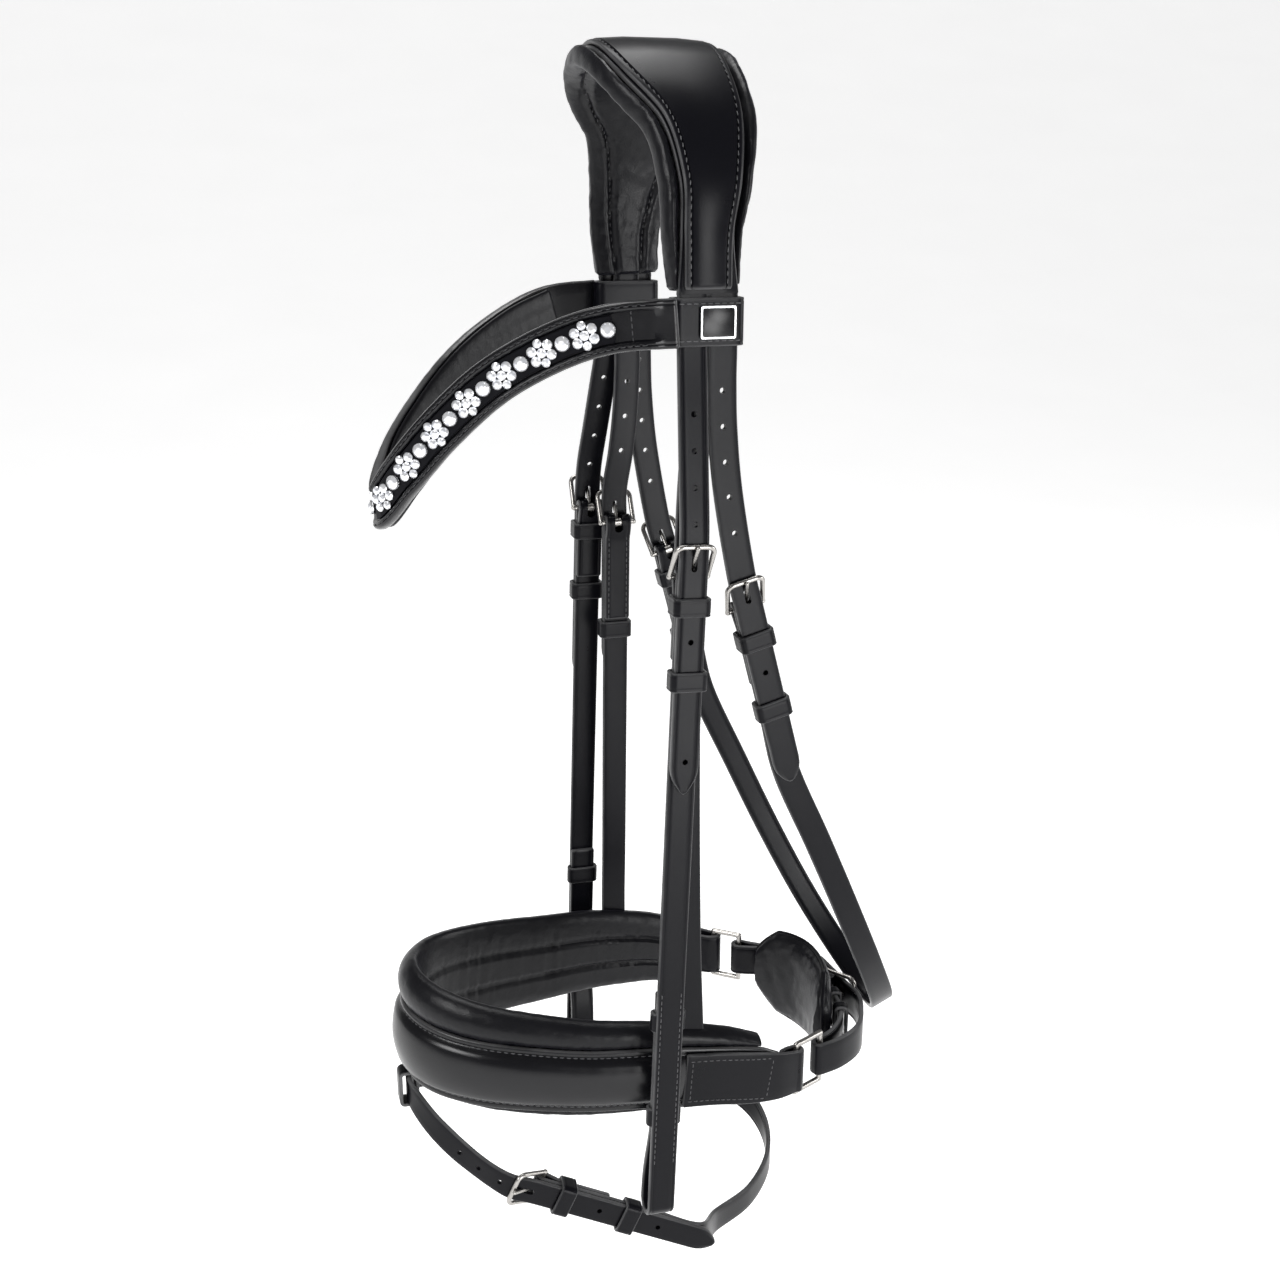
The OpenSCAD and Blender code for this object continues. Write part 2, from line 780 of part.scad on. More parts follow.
flash = level_frame([-63, -37.5, -512], [0, -45.5, -541]);
flash_route = concat(
    strap_points(flash, [6, 34, 62, 88]),
    [[30, -37, -556], [52, -16, -565], [69, 6, -564], [74, 24, -554], [66, 39, -542], [42, 48, -527],
     [0, 52, -515], [-40, 49, -503], [-75, 39, -491], [-102, 22, -478], [-115.5, 9, -470.5],
     [-119.3, 0, -468.2], [-116.5, -8, -470.5], [-107, -18, -479], [-94, -28.5, -490]],
    [for (y = [-18, 0, 40, 84, 96]) on(flash, [0, y, billet_n])]
);
flash_last = len(flash_route) - 1;
module flash_strap() {
    color(leather)
        difference() {
            union() {
                strap(flash_route, up, [for (i = [0 : flash_last]) i == flash_last ? 5 : strap_w],
                    lower_t - 0.2, 0.6, 3);
                at(flash)
                    chape();
            }
            at(flash)
                tongue_slot();
            for (u = [17.45, 18, 18.6])
                at(route_frame(flash_route, up, u))
                    cylinder(h = 8, r = hole_r, center = true);
        }
}
// The loop on the front of the noseband that the flash strap passes through
module flash_loop() {
    color(leather) {
        translate([-124.2, -4.5, -461])
            cube([3.2, 9, 13]);
        translate([-119.3, 4.5, -468.2])
            rotate([90, 0, 0])
                linear_extrude(9)
                    difference() {
                        round_rect(10.4, 18.8, 1.6);
                        square([7, 15.4], center = true);
                    }
    }
}

/* Buckles, tongues, keepers and runners of the narrow straps */

module buckle_at(f) {
    color(steel)
        at(f)
            buckle_frame();
}
module tongue_at(f) {
    color(steel)
        at(f)
            tongue();
}
module keeper_at(f, y) {
    color(leather)
        at(f)
            fixed_keeper(y);
}
module runner_at(f, y) {
    color(leather)
        at(f)
            runner(y);
}
module near_cheek_buckle() {
    buckle_at(near_cheek);
}
module far_cheek_buckle() {
    buckle_at(far_cheek);
}
module near_cheek_tongue() {
    tongue_at(near_cheek);
}
module far_cheek_tongue() {
    tongue_at(far_cheek);
}
module near_cheek_keeper() {
    keeper_at(near_cheek, 8);
}
module far_cheek_keeper() {
    keeper_at(far_cheek, 8);
}
module near_cheek_runner() {
    runner_at(near_cheek, 40);
}
module far_cheek_runner() {
    runner_at(far_cheek, 40);
}
module near_throat_buckle() {
    buckle_at(near_throat);
}
module far_throat_buckle() {
    buckle_at(far_throat);
}
module near_throat_tongue() {
    tongue_at(near_throat);
}
module far_throat_tongue() {
    tongue_at(far_throat);
}
module near_throat_keeper() {
    keeper_at(near_throat, 10.5);
}
module far_throat_keeper() {
    keeper_at(far_throat, 10.5);
}
module near_throat_runner() {
    runner_at(near_throat, 44);
}
module far_throat_runner() {
    runner_at(far_throat, 44);
}
module hanger_buckle() {
    buckle_at(far_hang);
}
module hanger_tongue() {
    tongue_at(far_hang);
}
module hanger_runner() {
    runner_at(far_hang, 52);
}
module flash_buckle() {
    buckle_at(flash);
}
module flash_tongue() {
    tongue_at(flash);
}
module flash_keeper() {
    keeper_at(flash, 9);
}
module flash_runner() {
    runner_at(flash, 43.5);
}

headpiece_strap();
headpiece_lining();
headpiece_cover();
browband();
browband_lining();
jewel_strip();
jewels();
jewel_cups();
near_plate();
near_cheek_billet();
far_cheek_billet();
near_cheekpiece();
far_cheekpiece();
near_cheek_buckle();
far_cheek_buckle();
near_cheek_tongue();
far_cheek_tongue();
near_cheek_keeper();
far_cheek_keeper();
near_cheek_runner();
far_cheek_runner();
near_bit_keepers();
far_bit_keepers();
near_hook_stud();
far_hook_stud();
near_throat_billet();
far_throat_billet();
throatlash();
near_throat_buckle();
far_throat_buckle();
near_throat_tongue();
far_throat_tongue();
near_throat_keeper();
far_throat_keeper();
near_throat_runner();
far_throat_runner();
near_hanger();
far_hanger_billet();
far_hanger();
hanger_buckle();
hanger_tongue();
hanger_runner();
noseband_leather();
noseband_panel();
noseband_lining();
near_end_tab();
far_end_tab();
near_ring();
far_ring();
crank_strap();
crank_buckle();
crank_tongue();
chin_pad();
chin_pad_loops();
flash_loop();
flash_strap();
flash_buckle();
flash_tongue();
flash_keeper();
flash_runner();
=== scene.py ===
"""Snaffle bridle: detailed leather, padding, stitching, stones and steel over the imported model.

Routes are in millimetres, in the same frame as the model, and become metres when a mesh is made.
"""

import math

import bpy
import numpy as np
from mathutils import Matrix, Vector


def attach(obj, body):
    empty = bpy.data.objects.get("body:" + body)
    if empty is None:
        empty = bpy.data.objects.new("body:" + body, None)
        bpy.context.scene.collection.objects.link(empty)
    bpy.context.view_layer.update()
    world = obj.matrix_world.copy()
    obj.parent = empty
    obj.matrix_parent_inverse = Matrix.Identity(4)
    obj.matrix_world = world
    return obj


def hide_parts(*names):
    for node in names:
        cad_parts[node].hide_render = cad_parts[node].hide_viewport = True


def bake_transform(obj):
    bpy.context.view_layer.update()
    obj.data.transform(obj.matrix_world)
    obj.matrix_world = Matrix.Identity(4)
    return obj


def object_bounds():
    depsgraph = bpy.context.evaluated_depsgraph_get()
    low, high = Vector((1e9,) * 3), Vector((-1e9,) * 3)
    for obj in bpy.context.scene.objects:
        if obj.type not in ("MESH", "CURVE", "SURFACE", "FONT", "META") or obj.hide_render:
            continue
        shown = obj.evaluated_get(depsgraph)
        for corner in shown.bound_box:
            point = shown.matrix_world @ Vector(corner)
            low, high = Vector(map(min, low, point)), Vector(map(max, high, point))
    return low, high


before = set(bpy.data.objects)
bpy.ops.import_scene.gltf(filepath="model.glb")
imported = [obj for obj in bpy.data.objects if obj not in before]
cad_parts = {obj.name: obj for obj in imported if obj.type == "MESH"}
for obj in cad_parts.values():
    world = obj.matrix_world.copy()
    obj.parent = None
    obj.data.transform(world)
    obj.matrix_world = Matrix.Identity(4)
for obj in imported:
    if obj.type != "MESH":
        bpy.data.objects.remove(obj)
cad_low, cad_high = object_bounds()


# ---------------------------------------------------------------- Studio
# A pale floor and backdrop in one sweep, five soft lights and a white room.
# The camera stands in front of the near side and looks slightly down and back.
scene = bpy.context.scene
scene.view_settings.view_transform = "Standard"


def link(obj):
    scene.collection.objects.link(obj)
    return obj


def node_material(name):
    """A new material with its node list, its links and its main shader."""
    made = bpy.data.materials.new(name)
    made.use_nodes = True
    tree = made.node_tree
    return made, tree.nodes, tree.links, tree.nodes["Principled BSDF"]


def sets(node, **numbers):
    """Numbers and colours go on a node's own sockets. In a name, _ stands for a space."""
    for name, value in numbers.items():
        node.inputs[name.replace("_", " ")].default_value = value
    return node


def add(nodes, kind, **numbers):
    """A new shader node of a kind, with its numbers and colours."""
    return sets(nodes.new("ShaderNode" + kind), **numbers)


def paper():
    """Matt pale paper with a very faint fibre."""
    made, nodes, links, shader = node_material("pale_paper")
    noise = add(nodes, "TexNoise", Scale=40)
    tone = add(nodes, "MapRange", To_Min=0.86, To_Max=0.89)
    colour = add(nodes, "CombineColor")
    links.new(noise.outputs["Fac"], tone.inputs["Value"])
    for channel in ("Red", "Green", "Blue"):
        links.new(tone.outputs["Result"], colour.inputs[channel])
    for socket in ("Base Color", "Emission Color"):
        links.new(colour.outputs["Color"], shader.inputs[socket])
    sets(shader, Emission_Strength=0.8, Roughness=0.95)
    return made


def backdrop():
    """A floor that sweeps up into a wall: beyond wall_from, its height follows the depth squared."""
    wide, deep = 9, 49
    drop, wall_from, steep = 0.12, 2.0, 0.12
    gx, gy = np.meshgrid(np.linspace(-6, 6, wide), np.linspace(-5, 7, deep))
    gz = cad_low.z - drop + steep * np.clip(gy - wall_from, 0, None) ** 2
    verts = np.stack([gx, gy, gz], -1).reshape(-1, 3)
    i = (np.arange(deep - 1)[:, None] * wide + np.arange(wide - 1)[None]).ravel()
    mesh = bpy.data.meshes.new("backdrop")
    mesh.from_pydata(verts.tolist(), [], np.stack([i, i + 1, i + wide + 1, i + wide], 1).tolist())
    mesh.polygons.foreach_set("use_smooth", np.ones(len(mesh.polygons), bool))
    mesh.materials.append(paper())
    obj = link(bpy.data.objects.new("backdrop", mesh))


def soft_light(name, place, target, size, power):
    lamp = bpy.data.lights.new(name, "AREA")
    lamp.size, lamp.energy = size, power
    obj = link(bpy.data.objects.new(name, lamp))
    obj.location = place
    obj.rotation_mode = "QUATERNION"
    obj.rotation_quaternion = (Vector(target) - Vector(place)).to_track_quat("-Z", "Y")


backdrop()
middle = (0, 0, -0.3)
soft_light("key", (-1.5, -0.7, 0.7), middle, 0.8, 20)
soft_light("fill", (1.6, -0.5, 0.0), middle, 0.7, 9)
soft_light("front", (0.45, -1.9, 0.0), middle, 0.6, 10)
soft_light("low", (0.36, -1.3, -0.56), (0, 0, -0.45), 0.55, 6)
soft_light("top", (0.0, 0.4, 1.3), middle, 1.0, 18)
world = bpy.data.worlds.new("studio")
world.use_nodes = True
sets(world.node_tree.nodes["Background"], Color=(1.0, 1.0, 1.0, 1), Strength=0.16)
scene.world = world

turn, down, far = math.radians(16.6), math.radians(17.0), 0.668
camera = link(bpy.data.objects.new("camera", bpy.data.cameras.new("camera")))
camera.location = (-far * math.sin(turn), -far * math.cos(turn), -0.045)
camera.rotation_mode = "QUATERNION"
camera.rotation_quaternion = Vector((
    math.sin(turn) * math.cos(down), math.cos(turn) * math.cos(down), -math.sin(down)
)).to_track_quat("-Z", "Y")
camera.data.lens, camera.data.sensor_width = 41.6, 36
camera.data.clip_start = 0.05
scene.camera = camera


# ---------------------------------------------------------------- Headpiece
# A soft padded lining with a roll at each edge, a leather strap and a stitched padded cover.
# The line, strap, pad, stitch and leather makers used by every later piece start here.
def unit(v):
    v = np.asarray(v, float)
    return v / np.linalg.norm(v, axis=-1, keepdims=True)


def curve(points, per):
    """Points of a smooth curve: each stretch bends with the points before and after it."""
    p = np.asarray(points, float)
    p = np.vstack([2 * p[0] - p[1], p, 2 * p[-1] - p[-2]])
    t = np.arange(per)[:, None] / per
    parts = [
        b + 0.5 * t * (c - a + t * (2 * a - 5 * b + 4 * c - d + t * (3 * b - a - 3 * c + d)))
        for a, b, c, d in zip(p[:-3], p[1:-2], p[2:-1], p[3:])
    ]
    return np.vstack(parts + [p[-2:-1]])


def lay(points, side, step=1.2, lift=0.0):
    """A centre line at even steps, with the ways along it, across it and out of its face."""
    fine = curve(points, 24)
    place = np.linspace(0, len(points) - 1, len(fine))
    gone = np.r_[0, np.cumsum(np.linalg.norm(np.diff(fine, axis=0), axis=1))]
    d = np.linspace(0, gone[-1], max(4, int(round(gone[-1] / step)) + 1))
    c = np.stack([np.interp(d, gone, fine[:, k]) for k in range(3)], 1)
    along = unit(np.gradient(c, axis=0))
    across = np.asarray(side, float)
    across = unit(across - (along @ across)[:, None] * along)
    out = np.cross(across, along)
    return {"c": c + lift * out, "along": along, "across": across, "out": out,
            "d": d, "u": np.interp(d, gone, place)}


def spot(line, d, x, z):
    """Points at distances d along a line, x across it and z out of it, with their directions."""
    d = np.atleast_1d(np.asarray(d, float))
    take = [np.stack([np.interp(d, line["d"], line[key][:, k]) for k in range(3)], 1)
            for key in ("c", "across", "along", "out")]
    x, z = (np.broadcast_to(v, d.shape)[:, None] for v in (x, z))
    return take[0] + x * take[1] + z * take[3], unit(take[2]), unit(take[3])


def values(line, given):
    """One number, or one for each route point, spread over the line. Between the points the
    value eases along a cubic whose slope at a point is half the change across it."""
    if np.ndim(given) == 0:
        return np.full(len(line["d"]), float(given))
    v = np.asarray(given, float)
    i = np.clip(line["u"].astype(int), 0, len(v) - 2)
    t = line["u"] - i
    slope = np.gradient(v)
    return ((2 * t ** 3 - 3 * t ** 2 + 1) * v[i] + (t ** 3 - 2 * t ** 2 + t) * slope[i]
            + (3 * t ** 2 - 2 * t ** 3) * v[i + 1] + (t ** 3 - t ** 2) * slope[i + 1])


def solid(name, rings, material, edge=None, loop=False):
    """A closed mesh from rings of points in millimetres, capped at both ends unless it loops."""
    n, m = rings.shape[:2]
    i = np.arange(n if loop else n - 1)[:, None]
    j = np.arange(m)[None]
    k, r = (j + 1) % m, (i + 1) % n
    faces = np.stack([i * m + j, i * m + k, r * m + k, r * m + j], -1).reshape(-1, 4).tolist()
    if not loop:
        faces += [list(range(m - 1, -1, -1)), list(range((n - 1) * m, n * m))]
    mesh = bpy.data.meshes.new(name)
    mesh.from_pydata((rings.reshape(-1, 3) * 0.001).tolist(), [], faces)
    if signed_volume(mesh) < 0:
        mesh.flip_normals()
    mesh.polygons.foreach_set("use_smooth", np.ones(len(mesh.polygons), bool))
    mesh.set_sharp_from_angle(angle=math.radians(42))
    values_at = np.zeros(n * m) if edge is None else np.asarray(edge, float).ravel()
    # each point's share of the painted edge highlight, for the leather materials
    mesh.attributes.new("painted_edge_highlight", "FLOAT", "POINT").data.foreach_set("value", values_at)
    mesh.materials.append(material)
    return link(bpy.data.objects.new(name, mesh))


def signed_volume(mesh):
    """Six times the volume: the sum over triangles of a corner dotted with the cross of the others."""
    mesh.calc_loop_triangles()
    tri = np.zeros(len(mesh.loop_triangles) * 3, np.int32)
    mesh.loop_triangles.foreach_get("vertices", tri)
    co = points_of(mesh)[tri].reshape(-1, 3, 3)
    return float((co[:, 0] * np.cross(co[:, 1], co[:, 2])).sum())


def points_of(mesh):
    co = np.zeros(len(mesh.vertices) * 3, np.float32)
    mesh.vertices.foreach_get("co", co)
    return co.reshape(-1, 3).astype(float)


def strap_rows(t, e=0.8, crease=1.7, depth=0.2, crown=0.0):
    """Outline rows of a creased strap: side sign, distance in from that side, height."""
    eased = [(e - e * math.cos(a), t / 2 - e + e * math.sin(a)) for a in np.radians([0, 30, 60, 90])]
    top = [(-1, b, z) for b, z in eased]
    top += [(-1, crease - 0.5, t / 2), (-1, crease, t / 2 - depth),
            (-1, crease + 0.5, t / 2 + crown * 0.4), (-0.45, 0, t / 2 + crown), (0, 0, t / 2 + crown)]
    right = [(-a, -b, z) for a, b, z in top[-2::-1]]
    below = [(1, -b, -z) for b, z in eased]
    below += [(a, 0, -t / 2) for a in (0.5, 0, -0.5)]
    below += [(-1, b, -z) for b, z in eased[::-1]]
    return np.array(top + right + below, float)


def placed(line, x, z):
    """A ring of points at each step of a line, x across it and z out of it."""
    return (line["c"][:, None] + x[..., None] * line["across"][:, None]
            + z[..., None] * line["out"][:, None])


strap_wide = 12.7


def strap(name, line, width, rows, material, narrow=strap_wide, loop=False):
    """A strap along a line. Across: side sign times half the width, plus the distance in, which
    shrinks where the strap is narrower than usual. Its edges are paler over the last 0.8 mm, a painted
    highlight."""
    w = values(line, width)
    rows = np.broadcast_to(rows, (len(w),) + rows.shape[-2:])
    x = rows[..., 0] * w[:, None] / 2 + rows[..., 1] * np.minimum(1, w / narrow)[:, None]
    z = rows[..., 2].copy()
    # the share of the painted edge highlight: one at the edge, nought from 0.8 mm in
    edge = np.clip(1 - (w[:, None] / 2 - np.abs(x)) / 0.8, 0, 1)
    if not loop:
        # the cut ends are eased: the end ring is a little smaller than its neighbour and takes the whole
        # painted edge highlight
        for end in (0, -1):
            x[end] *= 1 - 0.9 / max(w[end], 3)
            z[end] *= 0.62
            edge[end] = 1
    return solid(name, placed(line, x, z), material, edge, loop)


def stepwise(line):
    """The line again, for a width that is given at each step and not at each route point."""
    return dict(line, u=np.arange(len(line["d"]), dtype=float))


def pad_rings(line, width, t, outer, inner, dip=1.3, soft=1.3, square=4.0, count=34,
              inner_dip=None, rolls=(), pucker=0.0):
    """Rings of a stuffed pad. Each face is half the thickness times the square-th root of
    one minus the share of the width to that power, less a dip at each seam. A roll stands out
    of the outer face between a seam and an edge, as the root of a half sine. Puckers change from
    ring to ring and fade with the distance from the seam."""
    w = values(line, width)
    share = np.sin(np.linspace(-math.pi / 2, math.pi / 2, count))
    x = share[None] * w[:, None] / 2
    bare = (1 - np.abs(share) ** square) ** (1 / square)
    gather = pucker * np.random.default_rng(7).normal(size=len(w))
    faces = []
    for sign, seams, deep in ((1, outer, dip), (-1, inner, inner_dip or dip)):
        z = bare[None] * values(line, t)[:, None] / 2
        if sign == 1:
            for seam, side, rise in rolls:
                at = values(line, seam)[:, None]
                v = (x * side - at * side) / np.maximum(w[:, None] / 2 - at * side, 0.5)
                z = z + rise * np.sin(math.pi * np.clip(v, 0, 1)) ** 0.6
        for seam in seams:
            at = values(line, seam)[:, None]
            z = z - deep * np.exp(-(((x - at) / soft) ** 2)) * bare[None]
            z = z + gather[:, None] * np.exp(-(((x - at) / 5.0) ** 2)) * bare[None]
        faces.append((x, sign * z))
    (xa, za), (xb, zb) = faces
    x = np.hstack([xa, xb[:, -2:0:-1]])
    z = np.hstack([za, zb[:, -2:0:-1]])
    for end in (0, -1):
        x[end] *= 0.93
        z[end] *= 0.55
    return placed(line, x, z)


def near_seams(line, width, outer, inner, reach, count):
    """One for the points of a pad within reach of a seam, and nought for the others."""
    x = np.sin(np.linspace(-math.pi / 2, math.pi / 2, count))[None] * values(line, width)[:, None] / 2
    front, back = np.zeros_like(x), np.zeros_like(x)
    for held, seams in ((front, outer), (back, inner)):
        for seam in seams:
            held[np.abs(x - values(line, seam)[:, None]) < reach] = 1
    held = np.hstack([front, back[:, -2:0:-1]])
    held[:2], held[-2:] = 1, 1
    return held


def crinkle(obj, seed, size, height):
    """Soft leather wrinkles: each point moves along its normal by a sum of products of two sines,
    whose directions and phases come from the seed and whose wavelengths are near the size."""
    mesh = obj.data
    co = points_of(mesh) * 1000
    normal = np.zeros(len(co) * 3, np.float32)
    mesh.vertices.foreach_get("normal", normal)
    rng = np.random.default_rng(seed)
    pairs = 7
    way = unit(rng.normal(size=(2 * pairs, 3)))
    way *= (2 * math.pi / (size * rng.uniform(0.6, 1.8, 2 * pairs)))[:, None]
    wave = np.sin(co @ way.T + rng.uniform(0, 2 * math.pi, 2 * pairs))
    rise = (wave[:, :pairs] * wave[:, pairs:]).sum(1) / 2.2
    co += normal.reshape(-1, 3) * (height * np.clip(rise, -1.4, 1.4))[:, None]
    mesh.vertices.foreach_set("co", (co * 0.001).astype(np.float32).ravel())
    mesh.update()


def puff(obj, held, cap):
    """The pad swells as cloth under pressure, held along its seams. Moves are limited to cap mm."""
    rest = points_of(obj.data)
    group = obj.vertex_groups.new(name="seams")
    group.add(np.nonzero(held)[0].tolist(), 1.0, "REPLACE")
    cloth = obj.modifiers.new("cloth", "CLOTH")
    skin = cloth.settings
    skin.vertex_group_mass = "seams"
    skin.use_pressure = True
    skin.uniform_pressure_force = 4
    skin.effector_weights.gravity = 0
    skin.quality = 4
    skin.tension_stiffness = 40
    skin.compression_stiffness = 25
    cloth.collision_settings.use_collision = False
    last_frame = 14
    for number in range(1, last_frame + 1):
        scene.frame_set(number)
    swollen = points_of(obj.evaluated_get(bpy.context.evaluated_depsgraph_get()).data)
    obj.modifiers.remove(cloth)
    scene.frame_set(1)
    move = swollen - rest
    far = np.linalg.norm(move, axis=1, keepdims=True)
    move *= np.minimum(1, cap * 0.001 / np.maximum(far, 1e-9))
    obj.data.vertices.foreach_set("co", (rest + move).astype(np.float32).ravel())
    obj.data.update()


def stitches(name, body, rows, material, length=2.3, thick=0.3):
    """One small rounded thread for each place: five rings of six points, dipping at both ends."""
    share = np.array([-1, -0.72, 0, 0.72, 1])
    girth = np.array([0.25, 0.85, 1, 0.85, 0.25]) * thick
    sink = np.array([-0.9, -0.1, 0.25, -0.1, -0.9]) * thick
    turn6 = np.arange(6) * math.pi / 3
    verts, faces, base = [], [], 0
    ring = np.array([[i * 6 + j, i * 6 + (j + 1) % 6, (i + 1) * 6 + (j + 1) % 6, (i + 1) * 6 + j]
                     for i in range(4) for j in range(6)])
    for c, along, out in rows:
        across = np.cross(along, out)
        at = (c[:, None] + along[:, None] * (share * length / 2)[None, :, None]
              + out[:, None] * sink[None, :, None])
        wide, tall = ((girth[:, None] * way)[None, :, :, None] for way in (np.cos(turn6), np.sin(turn6)))
        round_it = wide * across[:, None, None] + tall * out[:, None, None]
        verts.append((at[:, :, None] + round_it).reshape(-1, 3))
        faces.append((ring[None] + base + 30 * np.arange(len(c))[:, None, None]).reshape(-1, 4))
        base += 30 * len(c)
    mesh = bpy.data.meshes.new(name)
    mesh.from_pydata((np.vstack(verts) * 0.001).tolist(), [], np.vstack(faces).tolist())
    mesh.polygons.foreach_set("use_smooth", np.ones(len(mesh.polygons), bool))
    mesh.materials.append(material)
    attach(link(bpy.data.objects.new(name, mesh)), body)


def row(line, start, stop, x, z, pitch=3.1):
    """Stitch places from start to stop along a line. Across, x is one number or one for each."""
    return spot(line, np.arange(start, stop, pitch), x, z)


def edge_rows(line, width, inset, z, end, pitch):
    """Two lines of stitch places, each an inset in from an edge of a strap of changing width."""
    d = np.arange(end, line["d"][-1] - end, pitch)
    x = np.interp(d, line["d"], values(line, width)) / 2 - inset
    return [spot(line, d, x, z), spot(line, d, -x, z)]


def tones(nodes, low, high):
    """A node that mixes two colours."""
    mix = nodes.new("ShaderNodeMix")
    mix.data_type = "RGBA"
    return sets(mix, A=(*low, 1), B=(*high, 1))


def on_piece(nodes, links, *textures):
    """The textures read the piece's own place in space."""
    place = nodes.new("ShaderNodeTexCoord")
    for texture in textures:
        links.new(place.outputs["Object"], texture.inputs["Vector"])


def math_node(nodes, operation):
    made = nodes.new("ShaderNodeMath")
    made.operation = operation
    return made


def leather(name, colour, rough, pore, bump, shine, sheen=0.0, wrinkle=0.0):
    """Black leather: pores from cells and fine noise, patches of polish, and paler edges that are a painted
    highlight.
    """
    made, nodes, links, shader = node_material(name)
    cells = add(nodes, "TexVoronoi", Scale=pore)
    cells.feature = "DISTANCE_TO_EDGE"
    fine = add(nodes, "TexNoise", Scale=pore * 2.3, Detail=4)
    broad = add(nodes, "TexNoise", Scale=55, Detail=5)
    folds = add(nodes, "TexNoise", Scale=260, Detail=3, Distortion=0.5)
    on_piece(nodes, links, cells, fine, broad, folds)
    edge = nodes.new("ShaderNodeAttribute")
    edge.attribute_name = "painted_edge_highlight"
    tone = tones(nodes, [c * 0.88 for c in colour], [c * 1.15 for c in colour])
    # paler edges: a painted highlight that runs to a pale grey where the edge share is one, in patches of
    # the broad noise
    edge_highlight = tones(nodes, colour, [c * 2.0 + 0.15 for c in colour])
    share = math_node(nodes, "MULTIPLY")
    links.new(broad.outputs["Fac"], tone.inputs["Factor"])
    links.new(edge.outputs["Fac"], share.inputs[0])
    links.new(broad.outputs["Fac"], share.inputs[1])
    links.new(share.outputs[0], edge_highlight.inputs["Factor"])
    links.new(tone.outputs["Result"], edge_highlight.inputs["A"])
    links.new(edge_highlight.outputs["Result"], shader.inputs["Base Color"])
    polish = add(nodes, "MapRange", To_Min=rough - 0.05, To_Max=rough + 0.06)
    links.new(broad.outputs["Fac"], polish.inputs["Value"])
    links.new(polish.outputs["Result"], shader.inputs["Roughness"])
    grain = add(nodes, "Bump", Strength=bump, Distance=0.00025)
    depth = math_node(nodes, "MULTIPLY_ADD")
    depth.inputs[1].default_value = 0.6
    links.new(fine.outputs["Fac"], depth.inputs[0])
    links.new(cells.outputs["Distance"], depth.inputs[2])
    links.new(depth.outputs[0], grain.inputs["Height"])
    last = grain
    if wrinkle:
        last = add(nodes, "Bump", Strength=wrinkle, Distance=0.0012)
        links.new(folds.outputs["Fac"], last.inputs["Height"])
        links.new(grain.outputs["Normal"], last.inputs["Normal"])
    links.new(last.outputs["Normal"], shader.inputs["Normal"])
    sets(shader, Sheen_Weight=sheen, Sheen_Tint=(0.55, 0.56, 0.75, 1), Specular_IOR_Level=shine)
    return made


def thread(name, colour):
    """Waxed thread: two-ply twist from a fine wave, half matt, with painted shade darkening the twist's low
    grooves.
    """
    made, nodes, links, shader = node_material(name)
    twist = add(nodes, "TexWave", Scale=900)
    twist.bands_direction = "DIAGONAL"
    on_piece(nodes, links, twist)
    # painted shade: the colour is darker where the twist's bump is low
    tone = tones(nodes, [c * 0.6 for c in colour], colour)
    bump = add(nodes, "Bump", Strength=0.5, Distance=0.0001)
    for node, socket in ((tone, "Factor"), (bump, "Height")):
        links.new(twist.outputs["Fac"], node.inputs[socket])
    links.new(tone.outputs["Result"], shader.inputs["Base Color"])
    links.new(bump.outputs["Normal"], shader.inputs["Normal"])
    sets(shader, Roughness=0.62)
    return made


bridle_leather = leather("bridle_leather", (0.0036, 0.0036, 0.0052), 0.29, 1500, 0.09, 0.14)
shiny_leather = leather("shiny_leather", (0.0036, 0.0036, 0.0048), 0.24, 1300, 0.07, 0.36)
soft_leather = leather("soft_leather", (0.0038, 0.0038, 0.0050), 0.33, 1000, 0.2, 0.22, 0.02, 0.14)
grey_thread = thread("grey_thread", (0.085, 0.085, 0.090))
dark_thread = thread("dark_thread", (0.040, 0.040, 0.044))
creased = strap_rows(2.6)

head_angles = np.radians([-90, -72, -50, -25, 0, 25, 50, 72, 90])
# the poll's half width, its height over its middle, and how far that middle is below the seat
head_half, head_high, head_down = 54, 66, 62


def both_sides(half):
    """Values for nine points over the poll and the two feet: from the top down, the foot last."""
    return [half[5]] + [half[abs(i - 4)] for i in range(9)] + [half[5]]


def arch(grow, low, centres):
    """The way over the poll: a half ellipse with straight sides, all made larger by grow."""
    y = [(head_half + grow) * v for v in [-1, *np.sin(head_angles), 1]]
    z = [low, *((head_high + grow) * np.cos(head_angles) - head_down), low]
    return [list(place) for place in zip(both_sides(centres), y, z)]


across_x = (1, 0, 0)
lining_c, cover_c = [4, 5.5, 11.5, 11.2, 9.2, 10], [2.5, 4, 11, 12, 10, 10]
lining_line = lay(arch(1.4, -84, lining_c), across_x, 1.3)
lining_w = np.array(both_sides([68, 64, 50, 40, 34, 30]))
cover_w = np.array(both_sides([51, 48, 34, 25, 20.5, 20]))
cover_shift = np.array(both_sides(cover_c)) - np.array(both_sides(lining_c))
rear_seam, front_seam = cover_shift + cover_w / 2 + 1.8, cover_shift - cover_w / 2 - 1.8
inner_front, inner_rear = 9.0 - lining_w / 2, lining_w / 2 - 9.0
lining_seams = [front_seam, rear_seam], [inner_front, inner_rear]
lining_count = 44
rings = pad_rings(lining_line, lining_w, 9.6, *lining_seams, dip=1.2, soft=1.3, square=2.7,
                  count=lining_count, inner_dip=2.4, pucker=0.15,
                  rolls=[(front_seam, -1, 3.8), (rear_seam, 1, 3.2)])
headpiece_lining = solid("headpiece_lining_soft", rings, soft_leather)
lining_hold = near_seams(lining_line, lining_w, *lining_seams, 1.3, lining_count)
